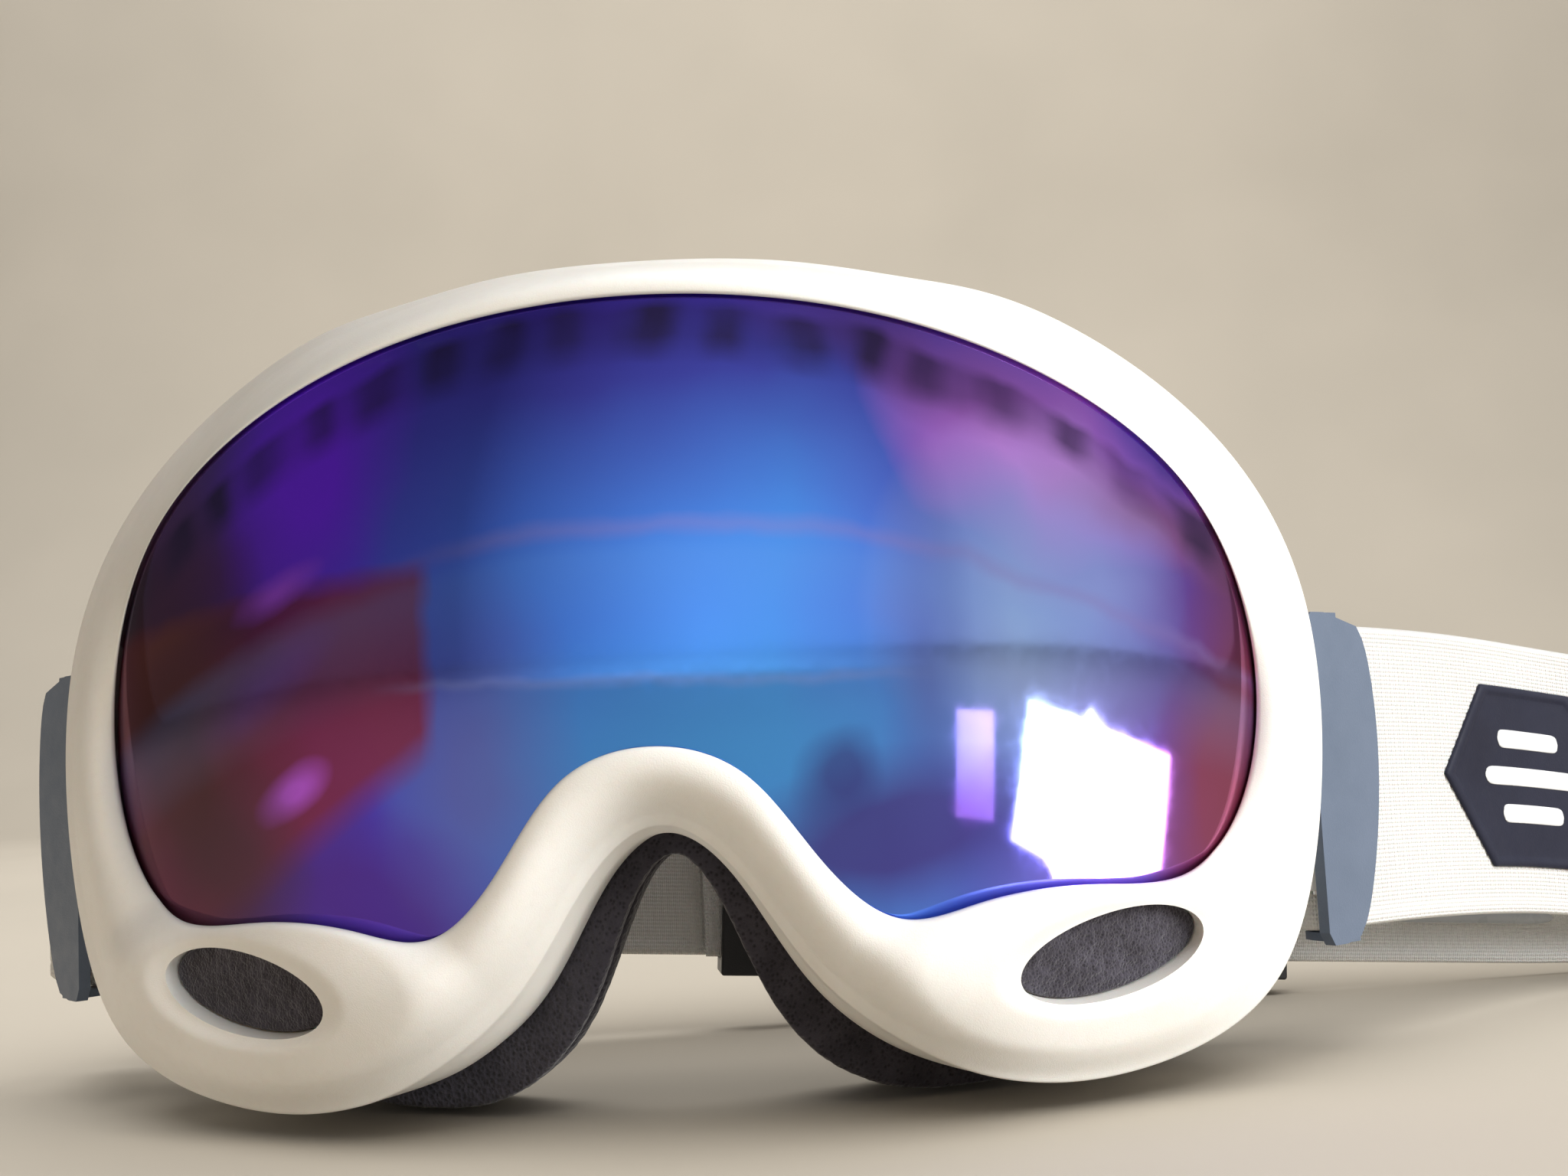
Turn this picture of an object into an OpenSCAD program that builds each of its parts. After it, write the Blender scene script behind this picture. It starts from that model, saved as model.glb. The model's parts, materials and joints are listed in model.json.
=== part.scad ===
// Ski goggles: a moulded frame with a double lens, layered face foam, two hinged
// outriggers and a two-piece elastic strap with a slider on each overlapping end.
// The lens faces -Y, the wearer's face is towards +Y, and the goggles stand on Z = 0.

/* [Lens] */
// Radius of the lens across its width
lens_r_wide = 100; // [95:1:130]
// Radius of the lens over its height
lens_r_tall = 200; // [150:5:400]
// Thickness of the outer lens
outer_lens_t = 1.4; // [1.2:0.1:1.6]
// Thickness of the inner lens
inner_lens_t = 1.0; // [0.6:0.1:1.2]
// Air gap between the lenses, kept by the foam gasket
lens_gap = 3.2; // [2.6:0.1:3.6]
// Length of lens edge held in the frame's groove
lens_bite = 2.2; // [1.8:0.1:2.6]

/* [Frame] */
// Depth of the frame's widest line behind the lens edge
bead_depth = 8; // [6:0.5:10]
// Wall thickness of the frame
wall = 2.4; // [2:0.1:3]
// Depth of the rear flange behind the lens at the forehead
face_depth = 30; // [26:1:34]
// Radius of the face that the rear flange follows
face_r = 121; // [115:1:135]
// How far the rear flange comes forward over the nose
nose_relief = 10; // [6:1:12]
// Length of each lower vent
vent_l = 27; // [20:1:28]
// Height of each lower vent
vent_h = 10.6; // [9:0.1:12]
// How far the plateau round each vent stands forward
vent_rise = 2.2; // [1:0.1:3]
// Number of slots along the top of the frame
top_slots = 9; // [5:1:11]

/* [Face foam] */
// Thickness of the firm foam on the flange
base_foam_t = 6; // [4:1:8]
// Thickness of the soft foam in the middle
middle_foam_t = 9; // [6:1:12]
// Thickness of the fleece against the skin
fleece_t = 2.4; // [1.5:0.1:3]

/* [Outriggers] */
// Distance of each hinge pin from the middle of the goggles
hinge_x = 88.3; // [88:0.1:89]
// Depth of each hinge pin behind the front of the lens
hinge_y = 54; // [53.5:0.1:54.5]
// Height of the middle of the outriggers and of the strap there
hinge_z = 38; // [37:0.5:40]
// Height of an outrigger
arm_h = 46.9; // [46.5:0.1:49]
// Radius of a hinge pin
pin_r = 0.8; // [0.7:0.05:0.9]
// Radial clearance of an outrigger on its pin
pin_gap = 0.06; // [0.02:0.01:0.1]
// Angle of the right outrigger from the X axis at rest
right_arm_angle = 41; // [36:1:44]
// Angle of the left outrigger from the X axis at rest
left_arm_angle = 46; // [44:1:50]

/* [Strap] */
// Width of the elastic webbing
strap_w = 44; // [42:0.5:44]
// Thickness of the elastic webbing
strap_t = 1.8; // [1.4:0.1:1.9]
// Length of a slider along the strap
slider_l = 18; // [14:1:20]

/* [Hidden] */

// Outlines seen from the front, right half only, as control points of smooth closed
// curves that run from the top middle, round the temple, to the nose arch.
aperture = [[0, 101], [27, 98.5], [50, 91], [68.5, 79.5], [77, 64.5], [79, 48], [74.5, 33.5],
    [65, 25.5], [51, 28], [37.5, 27], [27.5, 23], [18.5, 32.5], [11.5, 44.5], [0, 47.7]];
bead = [[0, 106.7], [18, 107], [34, 105.5], [50, 106], [76, 90.5], [91, 64.5], [87, 25.5],
    [77, 7.5], [56, 2], [42, 3], [32, 6.5], [17.5, 16.5], [9.5, 32], [0, 39.8]];
flange = [[0, 104], [20, 104], [37, 102.5], [54, 99], [72, 85], [84, 62], [83, 28],
    [72, 11], [54, 4.5], [40, 3.5], [28, 6], [16, 15.5], [8.8, 31], [0, 38.5]];
foam_edge = [[0, 104], [20, 104], [37, 102.5], [54, 99], [72, 85], [84, 62], [83, 28],
    [72, 9], [54, 1.5], [38, -1], [23, -0.5], [11, 10], [6, 26], [0, 35.5]];
face_hole = [[0, 91], [20, 91], [36, 89], [50, 84], [62, 73], [70, 58], [70, 34],
    [62, 20], [52, 14.5], [42, 13.5], [32, 16], [23, 26], [15, 39], [0, 46]];
lens_middle = [0, 70];      // point that every outline can be seen from
lens_level = 65.5;          // height where the lens stands furthest forward
steps = 4;                  // samples between two control points
foam_steps = 3;

// Smooth curves -----------------------------------------------------------------
function mirrored(h) = concat(h, [for (i = [len(h) - 2 : -1 : 1]) [-h[i][0], h[i][1]]]);
function blend4(a, b, c, d, f) = ((1 - f) ^ 3 * a + (3 * f ^ 3 - 6 * f ^ 2 + 4) * b
    + (-3 * f ^ 3 + 3 * f ^ 2 + 3 * f + 1) * c + f ^ 3 * d) / 6;
function closed_at(c, s) = let (n = len(c), i = floor(s))
    blend4(c[(i + n - 1) % n], c[i % n], c[(i + 1) % n], c[(i + 2) % n], s - i);
function outline(h, k) = let (c = mirrored(h), n = len(c) * k)
    [for (i = [0 : n - 1]) closed_at(c, i / k)];
// An open curve passes through its first and last control points.
function ended(c) = let (n = len(c))
    concat([2 * c[0] - c[1]], c, [2 * c[n - 1] - c[n - 2]]);
function open_at(c, s) = let (e = ended(c), i = min(floor(s), len(c) - 2))
    blend4(e[i], e[i + 1], e[i + 2], e[i + 3], s - i);
function open_curve(c, k) = let (n = (len(c) - 1) * k)
    [for (i = [0 : n]) open_at(c, i / k)];
function toward(a, b, d) = a + (b - a) * min(d / norm(b - a), 1);
function mix(a, b, f) = a + (b - a) * f;
function sag(r, x) = r - sqrt(r ^ 2 - x ^ 2);

// Surfaces ----------------------------------------------------------------------
// Front of the lens, and the back of the flange, as depths over the X Z plane.
function lens_y(p) = sag(lens_r_wide, p[0]) + sag(lens_r_tall, p[1] - lens_level);
function face_y(p) = face_depth + sag(face_r, p[0])
    - nose_relief * exp(-(p[0] / 20) ^ 2) * exp(-(max(p[1] - 22, 0) / 26) ^ 2);
function at(p, y) = [p[0], y, p[1]];
// Front of the frame between the lens edge (f = 0) and its widest line (f = 1). An
// oval plateau round each lower vent stands forward of it.
function smooth(f) = let (g = max(min(f, 1), 0)) g * g * (3 - 2 * g);
function plateau(p) = smooth(3.2 - 2.9 * norm([(abs(p[0]) - 52) / 28, (p[1] - 18) / 13.5]));
function front_y(a, b, f) = lens_y(a) - 0.9 + (bead_depth + 0.9) * f ^ 1.6
    - 1.5 * sin(180 * min(f * 1.2, 1)) - vent_rise * plateau(mix(a, b, f));

// Solids from sections ------------------------------------------------------------
function grid_faces(rows, cols, closed) = [for (i = [0 : rows - (closed ? 1 : 2)], j = [0 : cols - 1])
    let (a = i * cols + j, b = i * cols + (j + 1) % cols,
        c = ((i + 1) % rows) * cols + (j + 1) % cols, d = ((i + 1) % rows) * cols + j)
    each [[a, b, c], [a, c, d]]];
module ring_solid(sections) {
    polyhedron(points = [for (s = sections) each s],
        faces = grid_faces(len(sections), len(sections[0]), true), convexity = 6);
}
module bar_solid(sections) {
    n = len(sections);
    m = len(sections[0]);
    polyhedron(points = [for (s = sections) each s],
        faces = concat(grid_faces(n, m, false), [[for (j = [m - 1 : -1 : 0]) j]],
            [[for (j = [0 : m - 1]) (n - 1) * m + j]]), convexity = 6);
}
// A shell over an outline, from y = surface + near to y = surface + far.
module lens_solid(edge, near, far, rings = 8) {
    n = len(edge);
    function ring(f, d) = [for (p = edge) let (q = mix(lens_middle, p, f)) at(q, lens_y(q) + d)];
    front = [for (i = [1 : rings]) ring(i / rings, near)];
    back = [for (i = [rings : -1 : 1]) ring(i / rings, far)];
    pts = concat([for (r = front) each r], [for (r = back) each r],
        [at(lens_middle, lens_y(lens_middle) + near), at(lens_middle, lens_y(lens_middle) + far)]);
    last = 2 * rings * n;
    polyhedron(points = pts, faces = concat(grid_faces(2 * rings, n, false),
        [for (j = [0 : n - 1]) [last, (j + 1) % n, j]],
        [for (j = [0 : n - 1]) [last + 1, last - n + j, last - n + (j + 1) % n]]), convexity = 6);
}
// One section of a foam ring, with its depths measured from the back of the flange.
function on_face(p, d) = at(p, face_y(p) + d);
function foam_section(p, q, near, far, crown) = let (h = far - near)
    [on_face(mix(p, q, 0.02), near), on_face(p, near + 0.35 * h),
     on_face(mix(p, q, 0.05), near + 0.8 * h), on_face(mix(p, q, 0.16), far),
     on_face(mix(p, q, 0.5), far + crown), on_face(mix(p, q, 0.84), far),
     on_face(mix(p, q, 0.95), near + 0.8 * h), on_face(q, near + 0.35 * h),
     on_face(mix(p, q, 0.98), near), on_face(mix(p, q, 0.73), near),
     on_face(mix(p, q, 0.5), near), on_face(mix(p, q, 0.27), near)];

// Frame ---------------------------------------------------------------------------
frame_a = outline(aperture, steps);
frame_b = outline(bead, steps);
frame_c = outline(flange, steps);
frame_d = outline(face_hole, steps);
groove = lens_bite + 0.3;
slack = 0.3;                 // gap between the lens and its groove, front and back
flange_w = 8;

function frame_section(a, b, c, d) = let (
        g = toward(a, b, groove), r = toward(a, b, 0.8), i = toward(a, b, 3.4),
        m = mix(a, b, 0.55), k = toward(b, a, wall), e = toward(c, d, wall),
        f = toward(c, d, flange_w), yb = lens_y(a) + bead_depth, yc = face_y(c),
        rear = lens_y(g) + outer_lens_t + slack)
    [at(a, front_y(a, b, 0)), at(mix(a, b, 0.12), front_y(a, b, 0.12)),
     at(mix(a, b, 0.28), front_y(a, b, 0.28)), at(mix(a, b, 0.5), front_y(a, b, 0.5)),
     at(mix(a, b, 0.72), front_y(a, b, 0.72)), at(mix(a, b, 0.9), front_y(a, b, 0.9)), at(b, yb),
     at(mix(b, c, 0.5), yb + 3), at(c, mix(yb, yc, 0.45)), at(c, yc),
     at(f, face_y(f)), at(f, face_y(f) - 2), at(e, face_y(e) - 2),
     at(e, mix(yb, face_y(e), 0.5) + 0.6), at(k, yb + 2),
     at(m, max(front_y(a, b, 0.55) + 2.8, lens_y(m) + 1.2)), at(i, lens_y(i) + outer_lens_t + 2.4),
     at(r, lens_y(r) + outer_lens_t + 1.8), at(r, lens_y(r) + outer_lens_t + slack),
     at(g, rear), at(g, lens_y(g) - slack), at(a, lens_y(a) - slack)];

// Lower vents: an oval hole through each plateau.
vent_at = [54.2, 17.1, 18.6];
vent_dip = 8;
vent_yaw = 14;               // of the hole
pad_depth = 2.4;             // of the foam behind the frame's front
pad_t = 2.6;
pad_slope = 0.28;            // the foam lies along the frame's wall
vent_tilt = 6;               // the outer end is the higher one
module oval(l, h, t) { linear_extrude(t) scale([1, h / l]) circle(d = l, $fn = 48); }
module vent_place(side) {
    mirror([side > 0 ? 0 : 1, 0, 0]) translate(vent_at) rotate([vent_dip, 0, vent_yaw])
        rotate([90, 0, 0]) rotate(vent_tilt) children();
}
module vent_hole(side) { vent_place(side) translate([0, 0, -14]) oval(vent_l, vent_h, 24); }
slot_pitch = 9.6;
module top_slot(k) {
    x = k * slot_pitch;
    z = 106.4 - 0.0024 * x ^ 2;
    translate([x, 22 + 1.4 * sag(110, x), z]) cube([6, 6, 14], center = true);
}
module outer_frame() {
    place() color([0.95, 0.94, 0.91]) difference() {
        ring_solid([for (i = [0 : len(frame_a) - 1])
            frame_section(frame_a[i], frame_b[i], frame_c[i], frame_d[i])]);
        for (side = [-1, 1]) vent_hole(side);
        for (k = [0 : top_slots - 1]) top_slot(k - (top_slots - 1) / 2);
    }
}

// Lenses --------------------------------------------------------------------------
lens_edge = [for (i = [0 : len(frame_a) - 1]) toward(frame_a[i], frame_b[i], lens_bite)];
function inset(loop, d) = [for (p = loop) toward(p, lens_middle, d)];
module outer_lens() { place() color([0.2, 0.36, 0.8, 0.6]) lens_solid(lens_edge, 0, outer_lens_t); }
lens_clear = 0.45;           // between the gasket and each lens
gasket_near = outer_lens_t + lens_clear;
inner_near = outer_lens_t + lens_gap;
module lens_gasket() {
    loop = outline(aperture, foam_steps);
    place() color([0.12, 0.12, 0.13]) ring_solid([for (p = loop) let (o = toward(p, lens_middle, 1),
            n = toward(p, lens_middle, 5))
        [at(o, lens_y(o) + gasket_near), at(o, lens_y(o) + inner_near - lens_clear),
         at(n, lens_y(n) + inner_near - lens_clear), at(n, lens_y(n) + gasket_near)]]);
}
module inner_lens() {
    place() color([0.9, 0.6, 0.3, 0.4])
        lens_solid(inset(outline(aperture, foam_steps), 1.4), inner_near, inner_near + inner_lens_t, 5);
}

// Vent foams ------------------------------------------------------------------------
module vent_foam(side) {
    rim = [for (a = [0 : 7.5 : 352.5]) [(vent_l / 2 - 0.2) * cos(a), (vent_h / 2 - 0.2) * sin(a)]];
    place() color([0.13, 0.12, 0.13]) vent_place(side) bar_solid([for (d = [pad_depth, pad_depth + pad_t])
        [for (q = rim) [q[0], q[1], -d - pad_slope * q[0]]]]);
}
module vent_foam_left() { vent_foam(-1); }
module vent_foam_right() { vent_foam(1); }
// An open-cell strip under the slots along the top.
top_foam_x = 46;
module top_vent_foam() {
    n = 24;
    place() color([0.14, 0.14, 0.15]) bar_solid([for (i = [0 : n]) let (x = mix(-top_foam_x, top_foam_x, i / n),
            z = 100.8 - 0.0017 * x ^ 2, y = 15.5 + sag(120, x))
        [[x, y, z], [x, y + 10.5, z], [x, y + 10.5, z - 2.6], [x, y, z - 2.6]]]);
}

// Face foam -------------------------------------------------------------------------
foam_gap = 0.3;              // between the layers, and from the flange
foam_c = outline(foam_edge, foam_steps);
foam_d = outline(face_hole, foam_steps);
module foam_layer(near, far, grow, crown) {
    ring_solid([for (i = [0 : len(foam_c) - 1]) let (c = foam_c[i], d = foam_d[i])
        foam_section(mix(c, d, grow), mix(c, d, 1 - grow), near, far, crown)]);
}
module face_foam_base() {
    place() color([0.2, 0.2, 0.22]) foam_layer(foam_gap, base_foam_t, 0.04, 0);
}
module face_foam_middle() {
    place() color([0.25, 0.25, 0.28])
        foam_layer(base_foam_t + foam_gap, base_foam_t + middle_foam_t, 0.02, 0);
}
module face_fleece() {
    near = base_foam_t + middle_foam_t + foam_gap;
    place() color([0.16, 0.15, 0.17]) foam_layer(near, near + fleece_t, 0.06, 0.4);
}

// Hinges ----------------------------------------------------------------------------
// Drawn for the right side in hinge coordinates: X along the arm, Y into the goggles.
knuckle_r = 1.9;
lug_r = 1.5;
knuckle_h = 24;
lug_h = 3.8;
lug_gap = 0.2;
lug_room = lug_h + 2 * lug_gap + 1;
module at_hinge(side, angle) {
    mirror([side > 0 ? 0 : 1, 0, 0]) translate([hinge_x, hinge_y, hinge_z])
        rotate([0, 0, angle]) children();
}
module hinge_bracket(side) {
    place() color([0.9, 0.9, 0.88]) at_hinge(side, 0) difference() {
        union() {
            for (s = [-1, 1]) translate([0, 0, s * (knuckle_h + lug_h + 2 * lug_gap) / 2 - lug_h / 2]) {
                cylinder(r = lug_r, h = lug_h, $fn = 48);
                linear_extrude(lug_h) polygon([[0, -lug_r], [0, lug_r], [-3.6, 2.4], [-5, 2.4],
                    [-5, -0.5], [-3.2, -lug_r]]);
            }
            translate([-5, -0.5, -knuckle_h / 2 - lug_h - lug_gap])
                cube([1.4, 2.9, knuckle_h + 2 * lug_h + 2 * lug_gap]);
        }
        translate([0, 0, -knuckle_h]) cylinder(r = pin_r, h = 2 * knuckle_h, $fn = 48);
    }
}
module hinge_bracket_left() { hinge_bracket(-1); }
module hinge_bracket_right() { hinge_bracket(1); }
pin_l = knuckle_h + 2 * lug_h + 2 * lug_gap + 1;
module hinge_pin(side) {
    place() color([0.7, 0.7, 0.72]) at_hinge(side, 0) {
        translate([0, 0, -pin_l / 2]) cylinder(r = pin_r, h = pin_l, $fn = 48);
        translate([0, 0, pin_l / 2 - 0.4]) cylinder(r = pin_r + 0.6, h = 0.8, $fn = 48);
    }
}
module hinge_pin_left() { hinge_pin(-1); }
module hinge_pin_right() { hinge_pin(1); }

// Outriggers ------------------------------------------------------------------------
// A bowed plate over a strap bar. The strap goes round the bar, out of sight.
plate_in = -3.5;             // outer face of the plate
plate_t = 1.7;
plate_back = 2.8;            // reach of the plate behind the hinge's axis
plate_edge = 8.3;            // reach of the plate at its corners
plate_bow = 4;               // extra reach half-way up
plate_skew = 2.3;            // the upper corner reaches further than the lower one
plate_drop = 2;              // the upper corner is lower than the plate's top
bar_x = 4.6;
bar_y = 3.2;
bar_r = 1.4;
cheek = 1.2;
module plate_outline() {
    polygon(concat([[-plate_back, -arm_h / 2 + 1.8], [-plate_back, arm_h / 2 - 1.2],
            [-plate_back + 1.2, arm_h / 2], [1.5, arm_h / 2]],
        [for (i = [12 : -1 : -12]) let (f = i / 12)
            [plate_edge + plate_bow * (1 - f ^ 2) + plate_skew * f - 1.2 * abs(f) ^ 12,
             (arm_h / 2 - (f > 0 ? plate_drop : 0.8)) * f]],
        [[1.5, -arm_h / 2], [-plate_back + 1.2, -arm_h / 2]]));
}
module outrigger_arm(side, angle) {
    place() color([0.5, 0.56, 0.64]) at_hinge(side, angle) difference() {
        union() {
            translate([0, 0, -knuckle_h / 2]) cylinder(r = knuckle_r, h = knuckle_h, $fn = 48);
            translate([-1.3, plate_in + 0.5, -knuckle_h / 2]) cube([2.6, 2.4, knuckle_h]);
            translate([0, plate_in + plate_t, 0]) rotate([90, 0, 0])
                linear_extrude(plate_t) plate_outline();
            translate([bar_x, bar_y, -arm_h / 2]) cylinder(r = bar_r, h = arm_h, $fn = 32);
            for (z = [-arm_h / 2, arm_h / 2 - cheek]) translate([0, 0, z]) linear_extrude(cheek)
                polygon([[bar_x - 3.4, plate_in + 0.5], [bar_x + 0.6, plate_in + 0.5], [bar_x + 1.6, bar_y],
                    [bar_x + 1.2, bar_y + 1.6], [bar_x - 1.4, bar_y + 1.6], [bar_x - 2.2, bar_y]]);
        }
        translate([0, 0, -arm_h]) cylinder(r = pin_r + pin_gap, h = 2 * arm_h, $fn = 48);
        // Room to turn past the lugs and the pin's ends.
        for (z = [knuckle_h / 2 + 0.05, -knuckle_h / 2 - 0.05 - lug_room])
            translate([0, 0, z]) cylinder(r = lug_r + 0.3, h = lug_room, $fn = 48);
    }
}
module outrigger_left() { outrigger_arm(-1, left_arm_angle); }
module outrigger_right() { outrigger_arm(1, right_arm_angle); }

// Strap -----------------------------------------------------------------------------
// Routes of the strap's lower edge, from the outrigger bars to the overlap at the back.
strap_off = bar_y - bar_r - 0.15 - strap_t / 2;   // the outer ply's middle, behind the hinge
strap_start = bar_x + 0.6;
low = hinge_z - strap_w / 2;
function along(side, angle, u, v, z) =
    [side * (hinge_x + u * cos(angle) - v * sin(angle)), hinge_y + u * sin(angle) + v * cos(angle), z];
back_from = [150, 122, 0.9];
back_to = [-30, 92, 13.8];
function back_at(x, shift = 0) = let (f = (back_from[0] - x) / (back_from[0] - back_to[0]))
    mix(back_from, back_to, f) + [0, shift, 0];
ply_gap = 0.5;
ply_shift = strap_t + ply_gap;
right_end_x = -3;            // end of the right strap, in the left slider
left_end_x = 98;             // end of the left strap, in the right slider
right_route = concat(
    [for (i = [0 : 4]) along(1, right_arm_angle, strap_start + 15 * i, strap_off,
        low - 0.08 * i - 0.19 * i ^ 2)],
    [[154, 105.5, 9.9], [166, 111.5, 7.6], [177, 115.5, 5.1], [184.5, 121.5, 2.8],
     [180, 128, 1.2], [166, 126.2, 0.8]],
    [for (x = [150, 132, 110, 85, 60, 35, 15, right_end_x]) back_at(x)]);
left_route = concat(
    [for (i = [0 : 3]) along(-1, left_arm_angle, strap_start + 4.6 * i, strap_off, low)],
    [[-103.2, 74.5, 15.9], [-101.5, 84, 15.9], [-90, 88, 15.9]],
    [for (x = [-74, -60, -40, -15, 10, 35, 60, 80, left_end_x]) back_at(x, ply_shift)
        + [0, 0, x < -50 ? -0.04 * (-50 - x) : 0]]);
function flat_side(route, i) = let (n = len(route), a = route[max(i - 1, 0)],
    b = route[min(i + 1, n - 1)], d = [b[0] - a[0], b[1] - a[1]] / norm([b[0] - a[0], b[1] - a[1]]))
    [-d[1], d[0], 0];
module band(route, t, w, side_shift = 0, lift = 0) {
    bar_solid([for (i = [0 : len(route) - 1]) let (n = flat_side(route, i),
            p = route[i] + n * side_shift + [0, 0, lift])
        [p - n * t / 2, p + n * t / 2, p + n * t / 2 + [0, 0, w], p - n * t / 2 + [0, 0, w]]]);
}
function part_of(route, from, to) = [for (i = [from : to]) route[i]];
strap_steps = 4;
right_path = open_curve(right_route, strap_steps);
left_path = open_curve(left_route, strap_steps);
webbing = [0.95, 0.95, 0.93];
module strap_right() { place() color(webbing) band(right_path, strap_t, strap_w); }
module strap_left() { place() color(webbing) band(left_path, strap_t, strap_w); }

// The sewn end: round the bar and back along the inside of the strap.
loop_r = bar_r + 0.15 + strap_t / 2;
sewn_l = 18;
loop_join = strap_off + strap_t + 0.25;
function loop_route() = concat(
    [[bar_x + 0.3, strap_off], [bar_x, strap_off]],
    [for (a = [300 : -30 : 120]) [bar_x + loop_r * cos(a - 30), bar_y + loop_r * sin(a - 30)]],
    [[bar_x + 2.5, bar_y + loop_r - 0.1], [bar_x + 5, mix(bar_y + loop_r, loop_join, 0.5)],
     [bar_x + 7.5, loop_join], [sewn_l, loop_join]]);
module strap_loop(side, angle) {
    r = [for (p = loop_route()) [p[0], p[1], low - hinge_z]];
    place() color(webbing) at_hinge(side, angle) band(r, strap_t, strap_w);
}
module strap_loop_left() { strap_loop(-1, left_arm_angle); }
module strap_loop_right() { strap_loop(1, right_arm_angle); }
// Two rows of thread on the sewn end.
thread_t = 0.35;
module bar_tack(side, angle) {
    n = 14;
    pitch = (strap_w - 4) / n;
    place() color([0.85, 0.85, 0.84]) at_hinge(side, angle) for (u = [sewn_l - 3.9, sewn_l - 1.5], i = [0 : n - 1])
        translate([u - 0.35, loop_join + strap_t / 2, low - hinge_z + 2.4 + i * pitch])
            cube([0.7, thread_t, pitch * 0.7]);
}
module bar_tack_left() { bar_tack(-1, left_arm_angle); }
module bar_tack_right() { bar_tack(1, right_arm_angle); }

// Sliders ---------------------------------------------------------------------------
// A slider is a flat loop with three bars in front and two behind, in line with the strap.
back_line = back_from - back_to;
back_yaw = atan2(back_line[1], back_line[0]);
back_dip = asin(-back_line[2] / norm(back_line));
slider_wall = 1.5;
slider_rim = 2.6;
slider_clear = 0.3;
stack_t = strap_t + ply_shift;
module slider(x) {
    h = strap_w * cos(back_dip) + 2 * slider_clear;
    d = stack_t * cos(back_yaw) + 2 * slider_clear + 0.1;
    p = back_at(x, ply_shift / 2);
    bar = slider_l / 6;
    place() color([0.13, 0.13, 0.14]) translate([p[0], p[1], p[2]]) rotate([0, back_dip, back_yaw])
        translate([0, 0, -slider_clear]) difference() {
            translate([-slider_l / 2, -d / 2 - slider_wall, -slider_rim])
                cube([slider_l, d + 2 * slider_wall, h + 2 * slider_rim]);
            translate([-slider_l, -d / 2, 0]) cube([2 * slider_l, d, h]);
            for (s = [-1, 1]) translate([s * bar - bar * 0.6, d / 2 - 1, 1.5])
                cube([bar * 1.2, slider_wall + 2, h - 3]);
            translate([-bar * 1.6, -d / 2 - slider_wall - 1, 1.5])
                cube([bar * 3.2, slider_wall + 2, h - 3]);
        }
}
slider_left_x = 8;
slider_right_x = 87;
module slider_left() { slider(slider_left_x); }
module slider_right() { slider(slider_right_x); }
// Thread that closes the hemmed strap ends inside the sliders' openings.
module end_stitch(x, face) {
    n = 12;
    pitch = (strap_w - 6) / n;
    place() color([0.8, 0.8, 0.8]) for (i = [0 : n - 1]) {
        p = back_at(x, face < 0 ? 0 : ply_shift);
        translate([p[0], p[1], p[2] + 3 + i * pitch]) rotate([0, 0, back_yaw])
            translate([-0.3, face < 0 ? -strap_t / 2 - 0.15 : strap_t / 2, 0]) cube([0.6, 0.15, pitch * 0.6]);
    }
}
module end_stitch_left() { end_stitch(right_end_x + 4, -1); }
module end_stitch_right() { end_stitch(left_end_x - 4, 1); }

// Raised silicone lines on the inner face of the strap.
grip_t = 0.5;
grip_w = 2.2;
skin_gap = 0.03;             // keeps a raised part off the webbing's face
grip_lines = [7, 15, 23, 31];
module silicone_grip(route) {
    place() color([0.75, 0.76, 0.78]) for (z = grip_lines)
        band(route, grip_t, grip_w, (strap_t + grip_t) / 2 + skin_gap, z);
}
module silicone_grip_right() { silicone_grip([for (x = [146, 136, 126, 116]) back_at(x)]); }
module silicone_grip_left() {
    silicone_grip([for (x = [-20, -28, -36, -44]) back_at(x, ply_shift)]);
}

// A plain six-sided patch on the outside of the right strap, from one path point to another.
emblem_from = 2 * strap_steps;
emblem_n = 14;
emblem_h = 29;
emblem_t = 0.6;
module strap_emblem() {
    place() color([0.18, 0.19, 0.27]) bar_solid([for (j = [0 : emblem_n])
        let (i = emblem_from + j, n = flat_side(right_path, i), near = strap_t / 2 + skin_gap,
            tall = emblem_h / 2 * min(1, 2 * (1 - abs(2 * j / emblem_n - 1)) + 0.02),
            p = right_path[i] + [0, 0, strap_w / 2 - tall])
        [p - n * (near + emblem_t), p - n * near, p - n * near + [0, 0, 2 * tall],
         p - n * (near + emblem_t) + [0, 0, 2 * tall]]]);
}

// Placing -----------------------------------------------------------------------------
// The origin is under the middle of the whole model's box, on the ground.
reach_right = max([for (p = right_path) p[0]]) + strap_t / 2;
reach_left = min([for (p = left_path) p[0]]) - strap_t / 2;
reach_back = max([for (p = right_path) p[1]]) + strap_t / 2;
reach_front = min([for (i = [0 : len(frame_a) - 1], f = [0.12, 0.28, 0.5])
    front_y(frame_a[i], frame_b[i], f)]);
ground = min([for (p = foam_c) p[1]]);
module place() {
    translate([-(reach_left + reach_right) / 2, -(reach_front + reach_back) / 2, -ground])
        children();
}

outer_frame();
outer_lens();
lens_gasket();
inner_lens();
top_vent_foam();
vent_foam_left();
vent_foam_right();
face_foam_base();
face_foam_middle();
face_fleece();
hinge_bracket_left();
hinge_bracket_right();
hinge_pin_left();
hinge_pin_right();
outrigger_left();
outrigger_right();
strap_loop_left();
strap_loop_right();
strap_left();
strap_right();
bar_tack_left();
bar_tack_right();
slider_left();
slider_right();
end_stitch_left();
end_stitch_right();
silicone_grip_left();
silicone_grip_right();
strap_emblem();
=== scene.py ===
import json
import math
import bmesh
import bpy
import numpy as np
from mathutils import Matrix, Vector


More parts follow.
